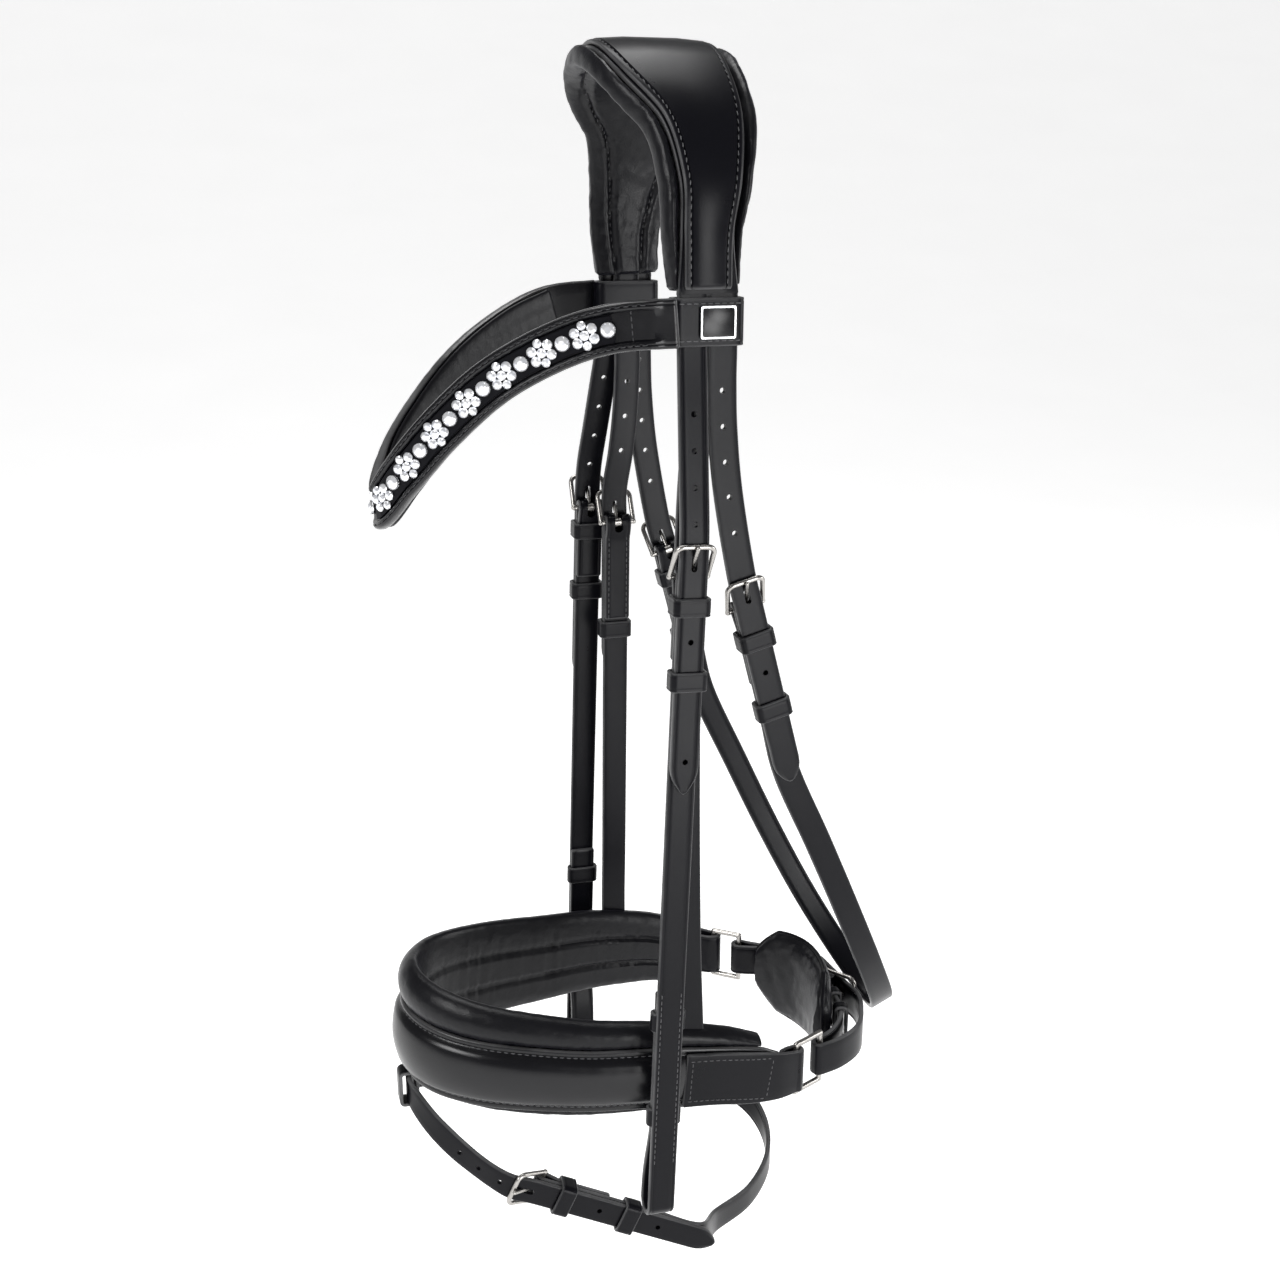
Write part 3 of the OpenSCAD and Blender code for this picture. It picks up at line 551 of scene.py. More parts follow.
lining_hold[:, 14:30] = 1  # the middle of the outer face lies under the strap
puff(headpiece_lining, lining_hold.ravel(), 0.8)
crinkle(headpiece_lining, 3, 7.5, 0.16)
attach(headpiece_lining, "root")
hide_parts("headpiece_lining")
groove_rows = [(c, along, -out) for c, along, out
               in edge_rows(lining_line, lining_w, 9.0, -2.45, 6, 3.1)]
stitches("headpiece_lining_stitches", "root", groove_rows, dark_thread, 2.2, 0.32)

strap_line = lay(arch(6.4, -87, cover_c[:5] + [10.5]), across_x, 1.3)
strap_w = cover_w + np.array([6.4] + [2.2] * 9 + [6.4])
headpiece_strap = strap("headpiece_strap_leather", strap_line, strap_w,
                        strap_rows(2.6, crease=1.3), bridle_leather)
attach(headpiece_strap, "root")
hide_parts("headpiece_strap")

# the tails of the strap, down into the browband loops
tail_places = (("front", 4.0, 60.5, 2.8), ("rear", 17.1, 60.5, 2.8), ("inner", 10.0, 57.4, 2.6))
for s, side in ((-1, "near"), (1, "far")):
    for label, x, y, t in tail_places:
        tail_line = lay([[x, s * (y - 0.5), -83], [x, s * y, -90], [x, s * y, -97], [x, s * y, -104.5]],
                        (-s, 0, 0), 1.2)
        tail = strap("headpiece_tail_%s_%s" % (label, side), tail_line, strap_wide - 0.2,
                     strap_rows(t, crease=1.6), bridle_leather)
        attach(tail, "root")

cover_line = lay(arch(8.9, -84, cover_c), across_x, 1.3)
headpiece_cover = strap("headpiece_cover_leather", cover_line, cover_w,
                        strap_rows(2.4, e=1.0, crease=2.6, depth=0.5, crown=1.3), bridle_leather)
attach(headpiece_cover, "root")
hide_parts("headpiece_cover")
stitches("headpiece_cover_stitches", "root", edge_rows(cover_line, cover_w, 2.3, 1.1, 3, 3.1),
         grey_thread)


# ---------------------------------------------------------------- Browband
# A V of padded leather: two stitched rolls with a channel of stones between them, flat at both ends.
# A sewn loop at each end holds the tails of the headpiece, and the near loop carries a plain plate.
def flip(points):
    return [[x, -y, z] for x, y, z in reversed(points)]


brow_half = [[-3, -64, -97], [-28, -57, -99], [-50, -46, -107], [-74, -34, -122], [-95, -23, -143],
             [-110, -13, -163]]
brow_route = brow_half + [[-118, 0, -178]] + flip(brow_half)
brow_line = lay(brow_route, (0, 0, 1), 0.9)


def raised(line, base, below, rise, start, fade):
    """Outline rows whose fourth number is the share of a rise. The rise fades in and out as a
    smooth step, from a start a little inside each end of the route."""
    height = np.clip(np.minimum(line["u"] - start, line["u"][-1] - start - line["u"]) / fade, 0, 1)
    height = height * height * (3 - 2 * height)
    full = base + [(-a, -b, z, share) for a, b, z, share in base[-2::-1]] + below
    full = np.array(full)
    rows = np.broadcast_to(full[None, :, :3], (len(height), len(full), 3)).copy()
    rows[..., 2] += rise * height[:, None] * full[None, :, 3]
    return rows


def brow_outline(line):
    """Rows of the band: two rolls 1.9 higher along the edges, which fade at the two loops."""
    base = [(-1, 0.0, -0.4, 0), (-1, 0.0, 0.6, 0.2), (-1, 0.25, 1.2, 0.55), (-1, 0.8, 1.7, 0.8),
            (-1, 1.5, 1.8, 1), (-1, 2.1, 1.55, 0.9), (-1, 2.7, 1.8, 1), (-1, 3.4, 1.8, 0.82),
            (-1, 3.9, 1.8, 0.45), (-1, 4.3, 1.8, 0), (-0.3, 0, 1.8, 0), (0, 0, 1.8, 0)]
    below = [(1, -0.5, -1.5, 0), (1, -1.2, -1.8, 0), (0.4, 0, -1.8, 0), (-0.4, 0, -1.8, 0),
             (-1, 1.2, -1.8, 0), (-1, 0.5, -1.5, 0)]
    return raised(line, base, below, 1.9, 0.2, 0.3)


browband = strap("browband_leather", brow_line, 20, brow_outline(brow_line), shiny_leather)
crinkle(browband, 5, 9.0, 0.05)
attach(browband, "root")
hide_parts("browband")


def cross_row(line, d, half, count, z):
    """Stitch places straight across a line at distance d, out to half on each side."""
    c, along, out = spot(line, np.full(count, d), np.linspace(-half, half, count), z)
    return c, np.cross(along, out), out


d_on, d_off = np.interp((0.76, 11.24), brow_line["u"], brow_line["d"])
d_end = brow_line["d"][-1]
brow_rows = [row(brow_line, 14, d_end - 14, x, 3.5) for x in (-7.9, 7.9)]
brow_rows += [cross_row(brow_line, d, 5.6, 5, 1.85) for d in (d_on - 1.2, d_off + 1.2)]
stitches("browband_stitches", "root", brow_rows, dark_thread)

lining_part = lay(brow_route[1:-1], (0, 0, 1), 1.2, -3.4)
lining_rings = pad_rings(lining_part, 18.5, 3, [], [0], dip=0.35, soft=1.6, square=3, count=18)
browband_lining = solid("browband_lining_soft", lining_rings, soft_leather)
crinkle(browband_lining, 8, 9.0, 0.03)
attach(browband_lining, "root")
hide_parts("browband_lining")


def rounded_loop(across, out, centre, wide, high, corner=1.7):
    """Sixteen points round a rectangle with round corners, as a closed route."""
    points = []
    for a, (sx, sz) in enumerate(((1, 1), (-1, 1), (-1, -1), (1, -1))):
        for step_angle in (0, 30, 60, 90):
            angle = math.radians(90 * a + step_angle)
            points.append(centre + (sx * (wide / 2 - corner) + corner * math.cos(angle)) * across
                          + (sz * (high / 2 - corner) + corner * math.sin(angle)) * out)
    return np.array(points)


def leather_loop(name, centre, across, along, out, wide, high, length, wall, body, node=None):
    """A closed leather band round a strap. Its walls follow a rounded rectangle, wide by high
    inside, and its edges are creased. It is as long as the length, along the strap."""
    centre = np.asarray(centre, float)
    corners = rounded_loop(unit(across), unit(out), centre, wide + wall, high + wall)
    closed = np.vstack([corners, corners[:1]])
    gone = np.r_[0, np.cumsum(np.linalg.norm(np.diff(closed, axis=0), axis=1))]
    steps = 72
    d = np.linspace(0, gone[-1], steps + 1)[:-1]
    c = np.stack([np.interp(d, gone, closed[:, k]) for k in range(3)], 1)
    way = unit(np.roll(c, -1, 0) - np.roll(c, 1, 0))
    side = np.broadcast_to(unit(along), c.shape)
    face = np.cross(side, way)
    if ((c - centre) * face).sum() < 0:
        face, side = -face, -side
    line = {"c": c, "along": way, "across": side, "out": face, "d": d, "u": d / gone[-1]}
    rows = strap_rows(wall, e=min(0.6, wall / 2 - 0.05), crease=1.35, depth=0.14)
    made = strap(name, line, length, rows, bridle_leather, narrow=6, loop=True)
    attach(made, body)
    if node:
        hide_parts(node)
    return made


for s, label in ((-1, "near"), (1, "far")):
    leather_loop("browband_loop_" + label, (10.5, s * 59, -97), (1, 0, 0), (0, 0, 1), (0, s, 0),
                 26.4, 6.2, 19.4, 2.1, "root")
    along, out = np.tile([1.0, 0, 0], (9, 1)), np.tile([0, float(s), 0], (9, 1))
    loop_x, face_y = np.linspace(-1.5, 22.5, 9), np.full(9, s * 64.25)
    loop_rows = [(np.stack([loop_x, face_y, np.full(9, z)], 1), along, out) for z in (-104.4, -89.6)]
    stitches("browband_loop_stitches_" + label, "root", loop_rows, grey_thread)


def crystal():
    """Foiled clear glass: bright facets with a cool tint that changes from stone to stone."""
    made, nodes, links, shader = node_material("crystal")
    cells = add(nodes, "TexVoronoi", Scale=420)
    tiny = add(nodes, "TexNoise", Scale=900)
    on_piece(nodes, links, cells, tiny)
    tone = tones(nodes, (0.86, 0.88, 0.95), (1.0, 1.0, 1.0))
    polish = add(nodes, "MapRange", To_Min=0.03, To_Max=0.09)
    links.new(cells.outputs["Distance"], tone.inputs["Factor"])
    links.new(tone.outputs["Result"], shader.inputs["Base Color"])
    links.new(tiny.outputs["Fac"], polish.inputs["Value"])
    links.new(polish.outputs["Result"], shader.inputs["Roughness"])
    sets(shader, Metallic=0.6, Coat_Weight=1.0, Coat_Roughness=0.02)
    return made


def cut_stones(name, groups, material):
    """Round stones: an eight-sided table, a zigzag of crown facets and a girdle, flat shaded."""
    eight = np.arange(8) * math.pi / 4
    sixteen = np.arange(16) * math.pi / 8
    shape = np.vstack([
        np.stack([0.46 * np.cos(eight), 0.46 * np.sin(eight), np.full(8, 1.0)], 1),
        np.stack([0.80 * np.cos(eight + math.pi / 8), 0.80 * np.sin(eight + math.pi / 8),
                  np.full(8, 0.66)], 1),
        np.stack([np.cos(sixteen), np.sin(sixteen), np.full(16, 0.3)], 1),
        np.stack([np.cos(sixteen), np.sin(sixteen), np.full(16, 0.0)], 1)])
    faces = [list(range(8))]
    for i in range(8):
        j = (i + 1) % 8
        faces += [[i, 8 + i, j], [j, 8 + i, 8 + j], [8 + i, 16 + 2 * i + 1, 16 + (2 * i + 2) % 16],
                  [8 + i, 16 + 2 * i, 16 + 2 * i + 1], [8 + i, 16 + (2 * i + 2) % 16, 8 + j]]
    faces += [[16 + k, 32 + k, 32 + (k + 1) % 16, 16 + (k + 1) % 16] for k in range(16)]
    verts, all_faces = [], []
    rng = np.random.default_rng(21)
    for c, along, out, r, tall in groups:
        side = np.cross(along, out)
        a = rng.uniform(0, math.pi / 4)
        x = shape[:, 0] * math.cos(a) - shape[:, 1] * math.sin(a)
        y = shape[:, 0] * math.sin(a) + shape[:, 1] * math.cos(a)
        all_faces += [[v + len(verts) * len(shape) for v in f] for f in faces]
        verts.append(c + r * x[:, None] * side + r * y[:, None] * along + tall * shape[:, 2:] * out)
    mesh = bpy.data.meshes.new(name)
    mesh.from_pydata((np.vstack(verts) * 0.001).tolist(), [], all_faces)
    mesh.materials.append(material)
    return link(bpy.data.objects.new(name, mesh))


stone_groups = []
stone_end, big_stones = 28, 15
stone_step = (d_end - 2 * stone_end) / (big_stones - 1)
flower = 4.2  # from the middle stone of a cluster to the six round it


def set_stone(d, height, r, tall):
    c, along, out = spot(brow_line, d, height, 3.45)
    stone_groups.append((c[0], along[0], out[0], r, tall))


for i in range(big_stones):
    set_stone(stone_end + i * stone_step, 0, 3.15, 2.1)
for i in range(big_stones - 1):
    mid = stone_end + (i + 0.5) * stone_step
    set_stone(mid, 0, 2.05, 1.7)
    for a in range(30, 360, 60):
        r = 1.9 if a % 180 == 90 else 2.15
        turned = math.radians(a)
        set_stone(mid + flower * math.cos(turned), flower * math.sin(turned), r, 1.8)
jewels = cut_stones("jewels_cut", stone_groups, crystal())
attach(jewels, "root")
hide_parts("jewels")


def steel(name, colour, rough, brush):
    """Polished steel: faint scratches from stretched noise, patches of duller metal."""
    made, nodes, links, shader = node_material(name)
    stretch = add(nodes, "Mapping", Scale=(1.0, 1.0, 9.0))
    scratch = add(nodes, "TexNoise", Scale=420, Detail=6)
    patches = add(nodes, "TexNoise", Scale=90)
    on_piece(nodes, links, stretch, patches)
    links.new(stretch.outputs["Vector"], scratch.inputs["Vector"])
    tone = tones(nodes, [c * 0.85 for c in colour], colour)
    links.new(patches.outputs["Fac"], tone.inputs["Factor"])
    links.new(tone.outputs["Result"], shader.inputs["Base Color"])
    polish = add(nodes, "MapRange", To_Min=rough - 0.06, To_Max=rough + 0.1)
    links.new(scratch.outputs["Fac"], polish.inputs["Value"])
    links.new(polish.outputs["Result"], shader.inputs["Roughness"])
    bump = add(nodes, "Bump", Strength=brush, Distance=0.00006)
    links.new(scratch.outputs["Fac"], bump.inputs["Height"])
    links.new(bump.outputs["Normal"], shader.inputs["Normal"])
    sets(shader, Metallic=1.0)
    return made


satin_steel = steel("satin_steel", (0.43, 0.415, 0.395), 0.27, 0.05)
plated = steel("plated", (0.55, 0.55, 0.56), 0.24, 0.05)


def finish_nodes(material, *nodes):
    """CAD nodes that keep their shape and take a finish."""
    for node in nodes:
        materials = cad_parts[node].data.materials
        materials.clear()
        materials.append(material)


finish_nodes(plated, "jewel_cups", "near_plate")
finish_nodes(bridle_leather, "jewel_strip")


def plate_field():
    """The black enamel field of the plate, with a soft edge, just proud of the rim."""
    centre = np.array([13.5, 0, -97])
    outline = rounded_loop(np.array([1.0, 0, 0]), np.array([0, 0, 1.0]), centre, 13.5, 11.5, 0.8)
    rings = [centre + (outline - centre) * scale + [0, y, 0]
             for y, scale in ((-66.05, 1.0), (-66.32, 1.0), (-66.42, 0.97))]
    return solid("near_plate_field", np.array(rings), shiny_leather)


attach(plate_field(), "root")


# ---------------------------------------------------------------- Cheekpieces
# On each side a punched billet comes down from the headpiece into a buckle. The cheekpiece hangs
# from the buckle bar, folds round the bit and returns behind itself through two inner keepers.
def buckle_frame(start, end, out):
    """The place of a buckle bar, the way down its strap and the way its face looks."""
    start = np.asarray(start, float)
    along = unit(np.asarray(end, float) - start)
    out = np.asarray(out, float)
    out = unit(out - (out @ along) * along)
    return {"at": start, "across": np.cross(along, out), "along": along, "out": out}


def on(f, y, n, x=0.0):
    return (f["at"] + x * f["across"] + y * f["along"] + n * f["out"]).tolist()


def hole(f, y0, y1, r, low, high, x=0.0):
    """A cutter for a round or long hole through a strap: a stadium from y0 to y1."""
    turns = np.radians(np.arange(0, 360, 22.5))
    px = x + r * np.cos(turns)
    py = np.where(np.sin(turns) >= 0, y1, y0) + r * np.sin(turns)
    return np.array([[on(f, y, n, x) for x, y in zip(px, py)] for n in (low, high)])


def cut(obj, cutters):
    """Holes through a strap, each cut by one stadium solid, all in one go."""
    verts, faces = [], []
    for rings in cutters:
        part = solid("cutter", rings, bridle_leather)
        base = len(verts)
        verts += [v.co[:] for v in part.data.vertices]
        faces += [[base + v for v in p.vertices] for p in part.data.polygons]
        bpy.data.objects.remove(part)
    mesh = bpy.data.meshes.new("cutter_mesh")
    mesh.from_pydata(verts, [], faces)
    mesh.materials.append(bridle_leather)
    tool = link(bpy.data.objects.new("cutter", mesh))
    boolean = obj.modifiers.new("holes", "BOOLEAN")
    boolean.operation, boolean.object, boolean.solver = "DIFFERENCE", tool, "EXACT"
    depsgraph = bpy.context.evaluated_depsgraph_get()
    result = bpy.data.meshes.new_from_object(obj.evaluated_get(depsgraph))
    obj.modifiers.clear()
    obj.data = result
    bpy.data.objects.remove(tool)
    obj.data.set_sharp_from_angle(angle=math.radians(42))


# how far the billet and the strap under it lie out of the buckle bar, and a punched hole's radius
billet_n, main_n = 5.55, 2.65
punch_r = 1.25


def billet_holes(f, places, under=4):
    """The long hole that the tongue is in, and round holes at other places on the billet."""
    low, high = billet_n - under, billet_n + 4
    return [hole(f, -8.6, -4.4, 1.3, low, high)] + [hole(f, y, y, punch_r, low, high) for y in places]


def holes_along(line, places, under=4):
    """Round holes at distances along a strap's line."""
    found = []
    for d in places:
        c, along, out = (v[0] for v in spot(line, d, 0, 0))
        here = {"at": c, "along": along, "out": out, "across": np.cross(along, out)}
        found.append(hole(here, 0, 0, punch_r, -under, 4))
    return found


def bar_hole(f):
    """The long hole that lets the tongue through the fold round a buckle bar."""
    return hole(f, -2.8, 2.6, 2.1, -6, 6)


sharp_tip = [0, 1, 3, 6, 9, 11, 13], [0.07, 0.2, 0.45, 0.76, 0.93, 0.98, 1]
blunt_tip = [0, 0.5, 1.5, 3, 5.5, 8, 11], [0.10, 0.22, 0.39, 0.60, 0.84, 0.96, 1]


def tipped(name, line, rows, tip=blunt_tip, wide=strap_wide):
    """A strap whose end is pointed: a tip lists distances from the end and shares of the width."""
    width = wide * np.interp(line["d"][-1] - line["d"], *tip)
    return strap(name, stepwise(line), width, rows, bridle_leather)


def fold_up(f, length=36):
    """The way of a lower strap from its sewn end behind, up and round the buckle bar."""
    radius, back = 2.65, -0.05
    turned = [on(f, -radius * math.cos(a), radius * math.sin(a)) for a in np.radians(range(-80, 91, 20))]
    return [on(f, length, back), on(f, length * 0.6, back), on(f, 10, back - 0.1), on(f, 5.5, -1.3),
            on(f, 2.5, -2.2)] + turned + [on(f, 3, radius), on(f, 10, radius)]


loop_wall = 1.6


def strap_fittings(f, label, body, keeper_at, runner_at):
    """The fixed keeper and the runner of a buckled strap: the runner's inside is from low to high."""
    low, high, spare = 1.35, 7.05, 0.6
    leather_loop(label + "_keeper_leather", on(f, keeper_at + 4, (high - low) / 2), f["across"],
                 f["along"], f["out"], strap_wide + spare, high + low + 0.5, 8, loop_wall, body,
                 label + "_keeper")
    leather_loop(label + "_runner_leather", on(f, runner_at + 4.25, (low + high) / 2), f["across"],
                 f["along"], f["out"], strap_wide + spare, high - low + 0.5, 8.5, loop_wall,
                 label + "_runner", label + "_runner")


near_cheek = buckle_frame([0.6, -69.3, -201], [-14.5, -80, -501], [0, -1, 0])
far_cheek = buckle_frame([-5.7, 69.3, -199], [-12.5, 80, -499], [0, 1, 0])


sewn_x = (-4.55, 4.55)


def cheek(f, label, top):
    body = label + "_cheek"
    top = np.array(top, float)
    join = on(f, -17, billet_n)
    lean = np.array(join) - top
    route = [(top + [0, 0, z]).tolist() for z in (6.2, 2.5)]
    route += [(top + lean * share).tolist() for share in (0.15, 0.4, 0.7, 0.93)]
    route += [on(f, y, billet_n) for y in (-10, 0, 30, 60, 80, 95)]
    line = lay(route, f["across"], 0.9)
    billet = tipped(body + "_billet_leather", line, strap_rows(3.0), sharp_tip)
    upper = buckle_frame(top, join, f["out"])
    cut(billet, [hole(upper, y, y, punch_r, -4, 4) for y in (27, 42, 57, 72)]
        + billet_holes(f, (27, 80)))
    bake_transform(billet)
    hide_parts(label + "_cheek_billet")

    # down the front, round the bit and up behind, with a sewn end at each buckle and bit
    fold_r, bit_y = 5.3, 300
    fold = [on(f, bit_y + fold_r * math.sin(a), -2.65 + fold_r * math.cos(a))
            for a in np.radians(range(0, 181, 20))]
    route = fold_up(f) + [on(f, y, main_n) for y in (60, 120, 180, 240, 284)] + fold
    route += [on(f, y, n) for y, n in ((292, -7.6), (283, -6.2), (272, -3.2), (261, -0.5))]
    route += [on(f, y, 0.02) for y in (251, 233, 213, 191)]
    line = lay(route, f["across"], 0.8)
    piece = strap(label + "_cheekpiece_leather", line, strap_wide, creased, bridle_leather)
    cut(piece, [bar_hole(f)])
    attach(piece, body)
    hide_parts(label + "_cheekpiece")

    front = lay([on(f, y, main_n) for y in (0, 100, 200, 300)], f["across"], 1.0)
    rows = [row(front, start, stop, x, 1.32, 2.9)
            for x in sewn_x for start, stop in ((17.5, 36), (192, 277))]
    stitches(label + "_cheekpiece_stitches", body, rows, grey_thread, 2.1, 0.27)

    strap_fittings(f, body, body, 8, 40)
    for number, y in enumerate((201, 249)):
        channel = leather_loop("%s_bit_keeper_leather_%d" % (label, number), on(f, y + 4.5, 0.0),
                               f["across"], f["along"], f["out"], 13.1, 3.1, 9, loop_wall, body)
        if number == 0:
            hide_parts(label + "_bit_keepers")
    finish_nodes(satin_steel, label + "_cheek_buckle", label + "_cheek_tongue", label + "_hook_stud")


cheek(near_cheek, "near", [4, -60.5, -107.2])
cheek(far_cheek, "far", [4, 60.5, -107.2])


# ---------------------------------------------------------------- Throatlash
# Two punched billets come down behind the cheekpieces, and one strap hangs between their buckles
# in a loop under the jaw.
def throat_billet(f, s, label):
    foot = [s * 60.5, -101], [s * 60.5, -110], [s * 60.5, -123]
    route = [[17.1, y, z] for y, z in foot] + [[17.8, s * 60.8, -142], [20.5, s * 61.1, -168]]
    route += [on(f, y, billet_n) for y in (-18, 0, 37, 70, 85)]
    line = lay(route, (1, 0, 0.2), 0.9)
    billet = tipped(label + "_throat_billet_leather", line, strap_rows(3.0))
    cut(billet, billet_holes(f, (13, 30)) + holes_along(line, (24, 39, 54, 69, 85)))
    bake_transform(billet)
    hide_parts(label + "_throat_billet")
    strap_fittings(f, label + "_throat", "throatlash", 10.5, 44)
    finish_nodes(satin_steel, label + "_throat_buckle", label + "_throat_tongue")


def sewn_fold(name, f, body, route, wide=12.6, step=0.7):
    """The short fold of a strap round its buckle bar, where the strap itself stops at the bar."""
    fold = strap(name, lay(route, f["across"], step), wide, creased, bridle_leather)
    cut(fold, [bar_hole(f)])
    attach(fold, body)


near_throat = buckle_frame([31.4, -55.8, -220.3], [50.5, -56, -293], [0, -1, 0])
far_throat = buckle_frame([31.4, 55.8, -220.3], [50.5, 56, -293], [0, 1, 0])
throat_billet(near_throat, -1, "near")
throat_billet(far_throat, 1, "far")

throat_low = [[70, -57.5, -338], [89, -53, -379], [107, -43, -416], [123, -25, -446]]
throat_route = ([on(near_throat, y, main_n) for y in (1, 6, 27, 54, 82)] + throat_low + [[131, 0, -460]]
                + flip(throat_low) + [on(far_throat, y, main_n) for y in (82, 54, 27, 6, 1)])
throat_line = lay(throat_route, (0.9, 0, 0.42), 0.9)
throatlash = strap("throatlash_leather", throat_line, strap_wide, creased, bridle_leather)
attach(throatlash, "throatlash")
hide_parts("throatlash")
for f, label in ((near_throat, "near"), (far_throat, "far")):
    sewn_fold("throat_fold_" + label, f, "throatlash", fold_up(f))
    front = lay([on(f, y, main_n) for y in (0, 20, 40, 60)], f["across"], 1.0)
    rows = [row(front, 20, 36, x, 1.32, 2.9) for x in sewn_x]
    stitches("throat_stitches_" + label, "throatlash", rows, grey_thread, 2.1, 0.27)


# ---------------------------------------------------------------- Noseband hangers
# The near side hangs in one plain strap. The far side has a punched billet and a small buckle.
near_hanger_line = lay([[10, -57.4, -101], [10, -57.4, -108.6], [7.4, -57.5, -140], [4.4, -58.3, -190],
                        [3.6, -59.4, -280], [4.6, -60.6, -370], [6.4, -61.2, -424], [7, -61.2, -456]],
                       (1, 0, 0.05), 1.0)
near_hanger = strap("near_hanger_leather", near_hanger_line, strap_wide, creased, bridle_leather)
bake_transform(near_hanger)
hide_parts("near_hanger")

hang = buckle_frame([4.2, 53.7, -204], [3.2, 58.9, -424], [0, 1, 0])
hang_line = lay([[10, 57.4, -101], [10, 57.4, -108.6], [10.6, 57.4, -125], [9.4, 57.5, -150],
                 [7.2, 58, -170]] + [on(hang, y, billet_n) for y in (-15, 2, 34, 64, 78)],
                (1, 0, 0.1), 0.9)
far_billet = tipped("far_hanger_billet_leather", hang_line, creased)
cut(far_billet, billet_holes(hang, (18, 44)) + holes_along(hang_line, (34, 51, 68)))
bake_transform(far_billet)
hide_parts("far_hanger_billet")

far_line = lay(fold_up(hang, 50) + [on(hang, y, main_n) for y in (60, 120, 180, 218)]
               + [[4.5, 61, -456]], (1, 0, 0), 0.8)
far_hanger = strap("far_hanger_leather", far_line, strap_wide, creased, bridle_leather)
cut(far_hanger, [bar_hole(hang)])
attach(far_hanger, "noseband")
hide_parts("far_hanger")
hang_front = lay([on(hang, y, main_n) for y in (0, 20, 40, 60)], hang["across"], 1.0)
hang_rows = [row(hang_front, 8, 49, x, z, 2.9) for x in sewn_x for z in (1.32, -4.02)]
stitches("far_hanger_stitches", "noseband", hang_rows, grey_thread, 2.1, 0.27)
leather_loop("hanger_runner_leather", on(hang, 56.25, 4.2), hang["across"], hang["along"],
             hang["out"], 13.3, 6.2, 8.5, loop_wall, "hanger_runner", "hanger_runner")
finish_nodes(satin_steel, "hanger_buckle", "hanger_tongue")


# ---------------------------------------------------------------- Noseband
# A deep padded lining that rolls over the top edge, the leather with its two stitch lines, and a
# raised panel along the middle. Sewn tabs at both ends wrap the square rings.
nose_half = [[50, -63.6, -453], [38, -64.8, -451.5], [18, -65, -448], [-12, -63, -445],
             [-42, -58.5, -444], [-68, -52, -442], [-90, -43, -440.5], [-106, -31, -439.5],
             [-116, -16, -439]]
nose_route = nose_half + [[-119.5, 0, -438.5]] + flip(nose_half)


def mirrored(half):
    return list(half) + list(half[-2::-1])


nose_line = lay(nose_route, (0, 0, 1), 1.1)
nose_w = mirrored([22, 30, 31, 31.5, 32, 33, 34, 35, 36, 36])


def nose_outline(line):
    """Rows of the band: an eased edge, a stitched groove and a padded middle 4.6 high, which
    fades away before both ends."""
    base = [(-1, 0.0, -0.5, 0), (-1, 0.0, 0.5, 0), (-1, 0.3, 1.0, 0), (-1, 0.9, 1.3, 0),
            (-1, 2.1, 1.35, 0), (-1, 2.7, 1.1, 0), (-1, 3.2, 1.0, 0), (-1, 3.7, 1.1, 0.06),
            (-1, 4.3, 1.2, 0.27), (-1, 5.3, 1.3, 0.49), (-1, 6.8, 1.3, 0.66), (-0.45, 0, 1.3, 0.82),
            (-0.3, 0, 1.3, 0.92), (-0.15, 0, 1.3, 0.98), (0, 0, 1.3, 1)]
    below = [(1, -0.6, -1.2, 0), (0.5, 0, -1.3, 0), (0, 0, -1.3, 0), (-0.5, 0, -1.3, 0),
             (-1, 0.6, -1.2, 0)]
    return raised(line, base, below, 4.6, 2.3, 0.5)


nose_leather = strap("noseband_leather_band", nose_line, nose_w, nose_outline(nose_line), shiny_leather)
crinkle(nose_leather, 15, 18.0, 0.06)
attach(nose_leather, "noseband")
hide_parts("noseband_leather", "noseband_panel")

stitches("noseband_stitches", "noseband", edge_rows(nose_line, nose_w, 3.15, 1.0, 14, 3.2),
         grey_thread, 2.4, 0.3)

rise = np.array(mirrored([0, 1.2, 2.7, 3.6, 4.2, 5, 6.2, 7.5, 8.5, 9]))
pad_route = [[x, y, z + r] for (x, y, z), r in zip(nose_route, rise)][1:-1]
pad_w = mirrored([35.5, 41.5, 46.2, 49.5, 52, 53.5, 55, 56, 57])
pad_line = lay(pad_route, (0, 0, 1), 1.2, -5.6)
band_half = np.array(mirrored([15, 15.5, 15.7, 16, 16.5, 17, 17.5, 18, 18]))
band_top, band_foot = band_half - rise[1:-1] - 0.4, -band_half - rise[1:-1] + 0.2
pad_seams = [band_top, band_foot], [np.array(pad_w) * 0.17, np.array(pad_w) * -0.17]
pad_count = 46
nose_rings = pad_rings(pad_line, pad_w, 8.2, *pad_seams, dip=0.6, soft=0.9, square=2.8,
                       count=pad_count, inner_dip=2.5, pucker=0.17,
                       rolls=[(band_top, 1, 3.9), (band_foot, -1, 2.0)])
nose_lining = solid("noseband_lining_soft", nose_rings, soft_leather)
pad_hold = near_seams(pad_line, pad_w, *pad_seams, 1.2, pad_count)
pad_hold[:, 14:30] = 1  # the middle of the outer face lies under the band
puff(nose_lining, pad_hold.ravel(), 0.8)
crinkle(nose_lining, 23, 9.0, 0.07)
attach(nose_lining, "noseband")
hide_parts("noseband_lining")


ring_z = -455


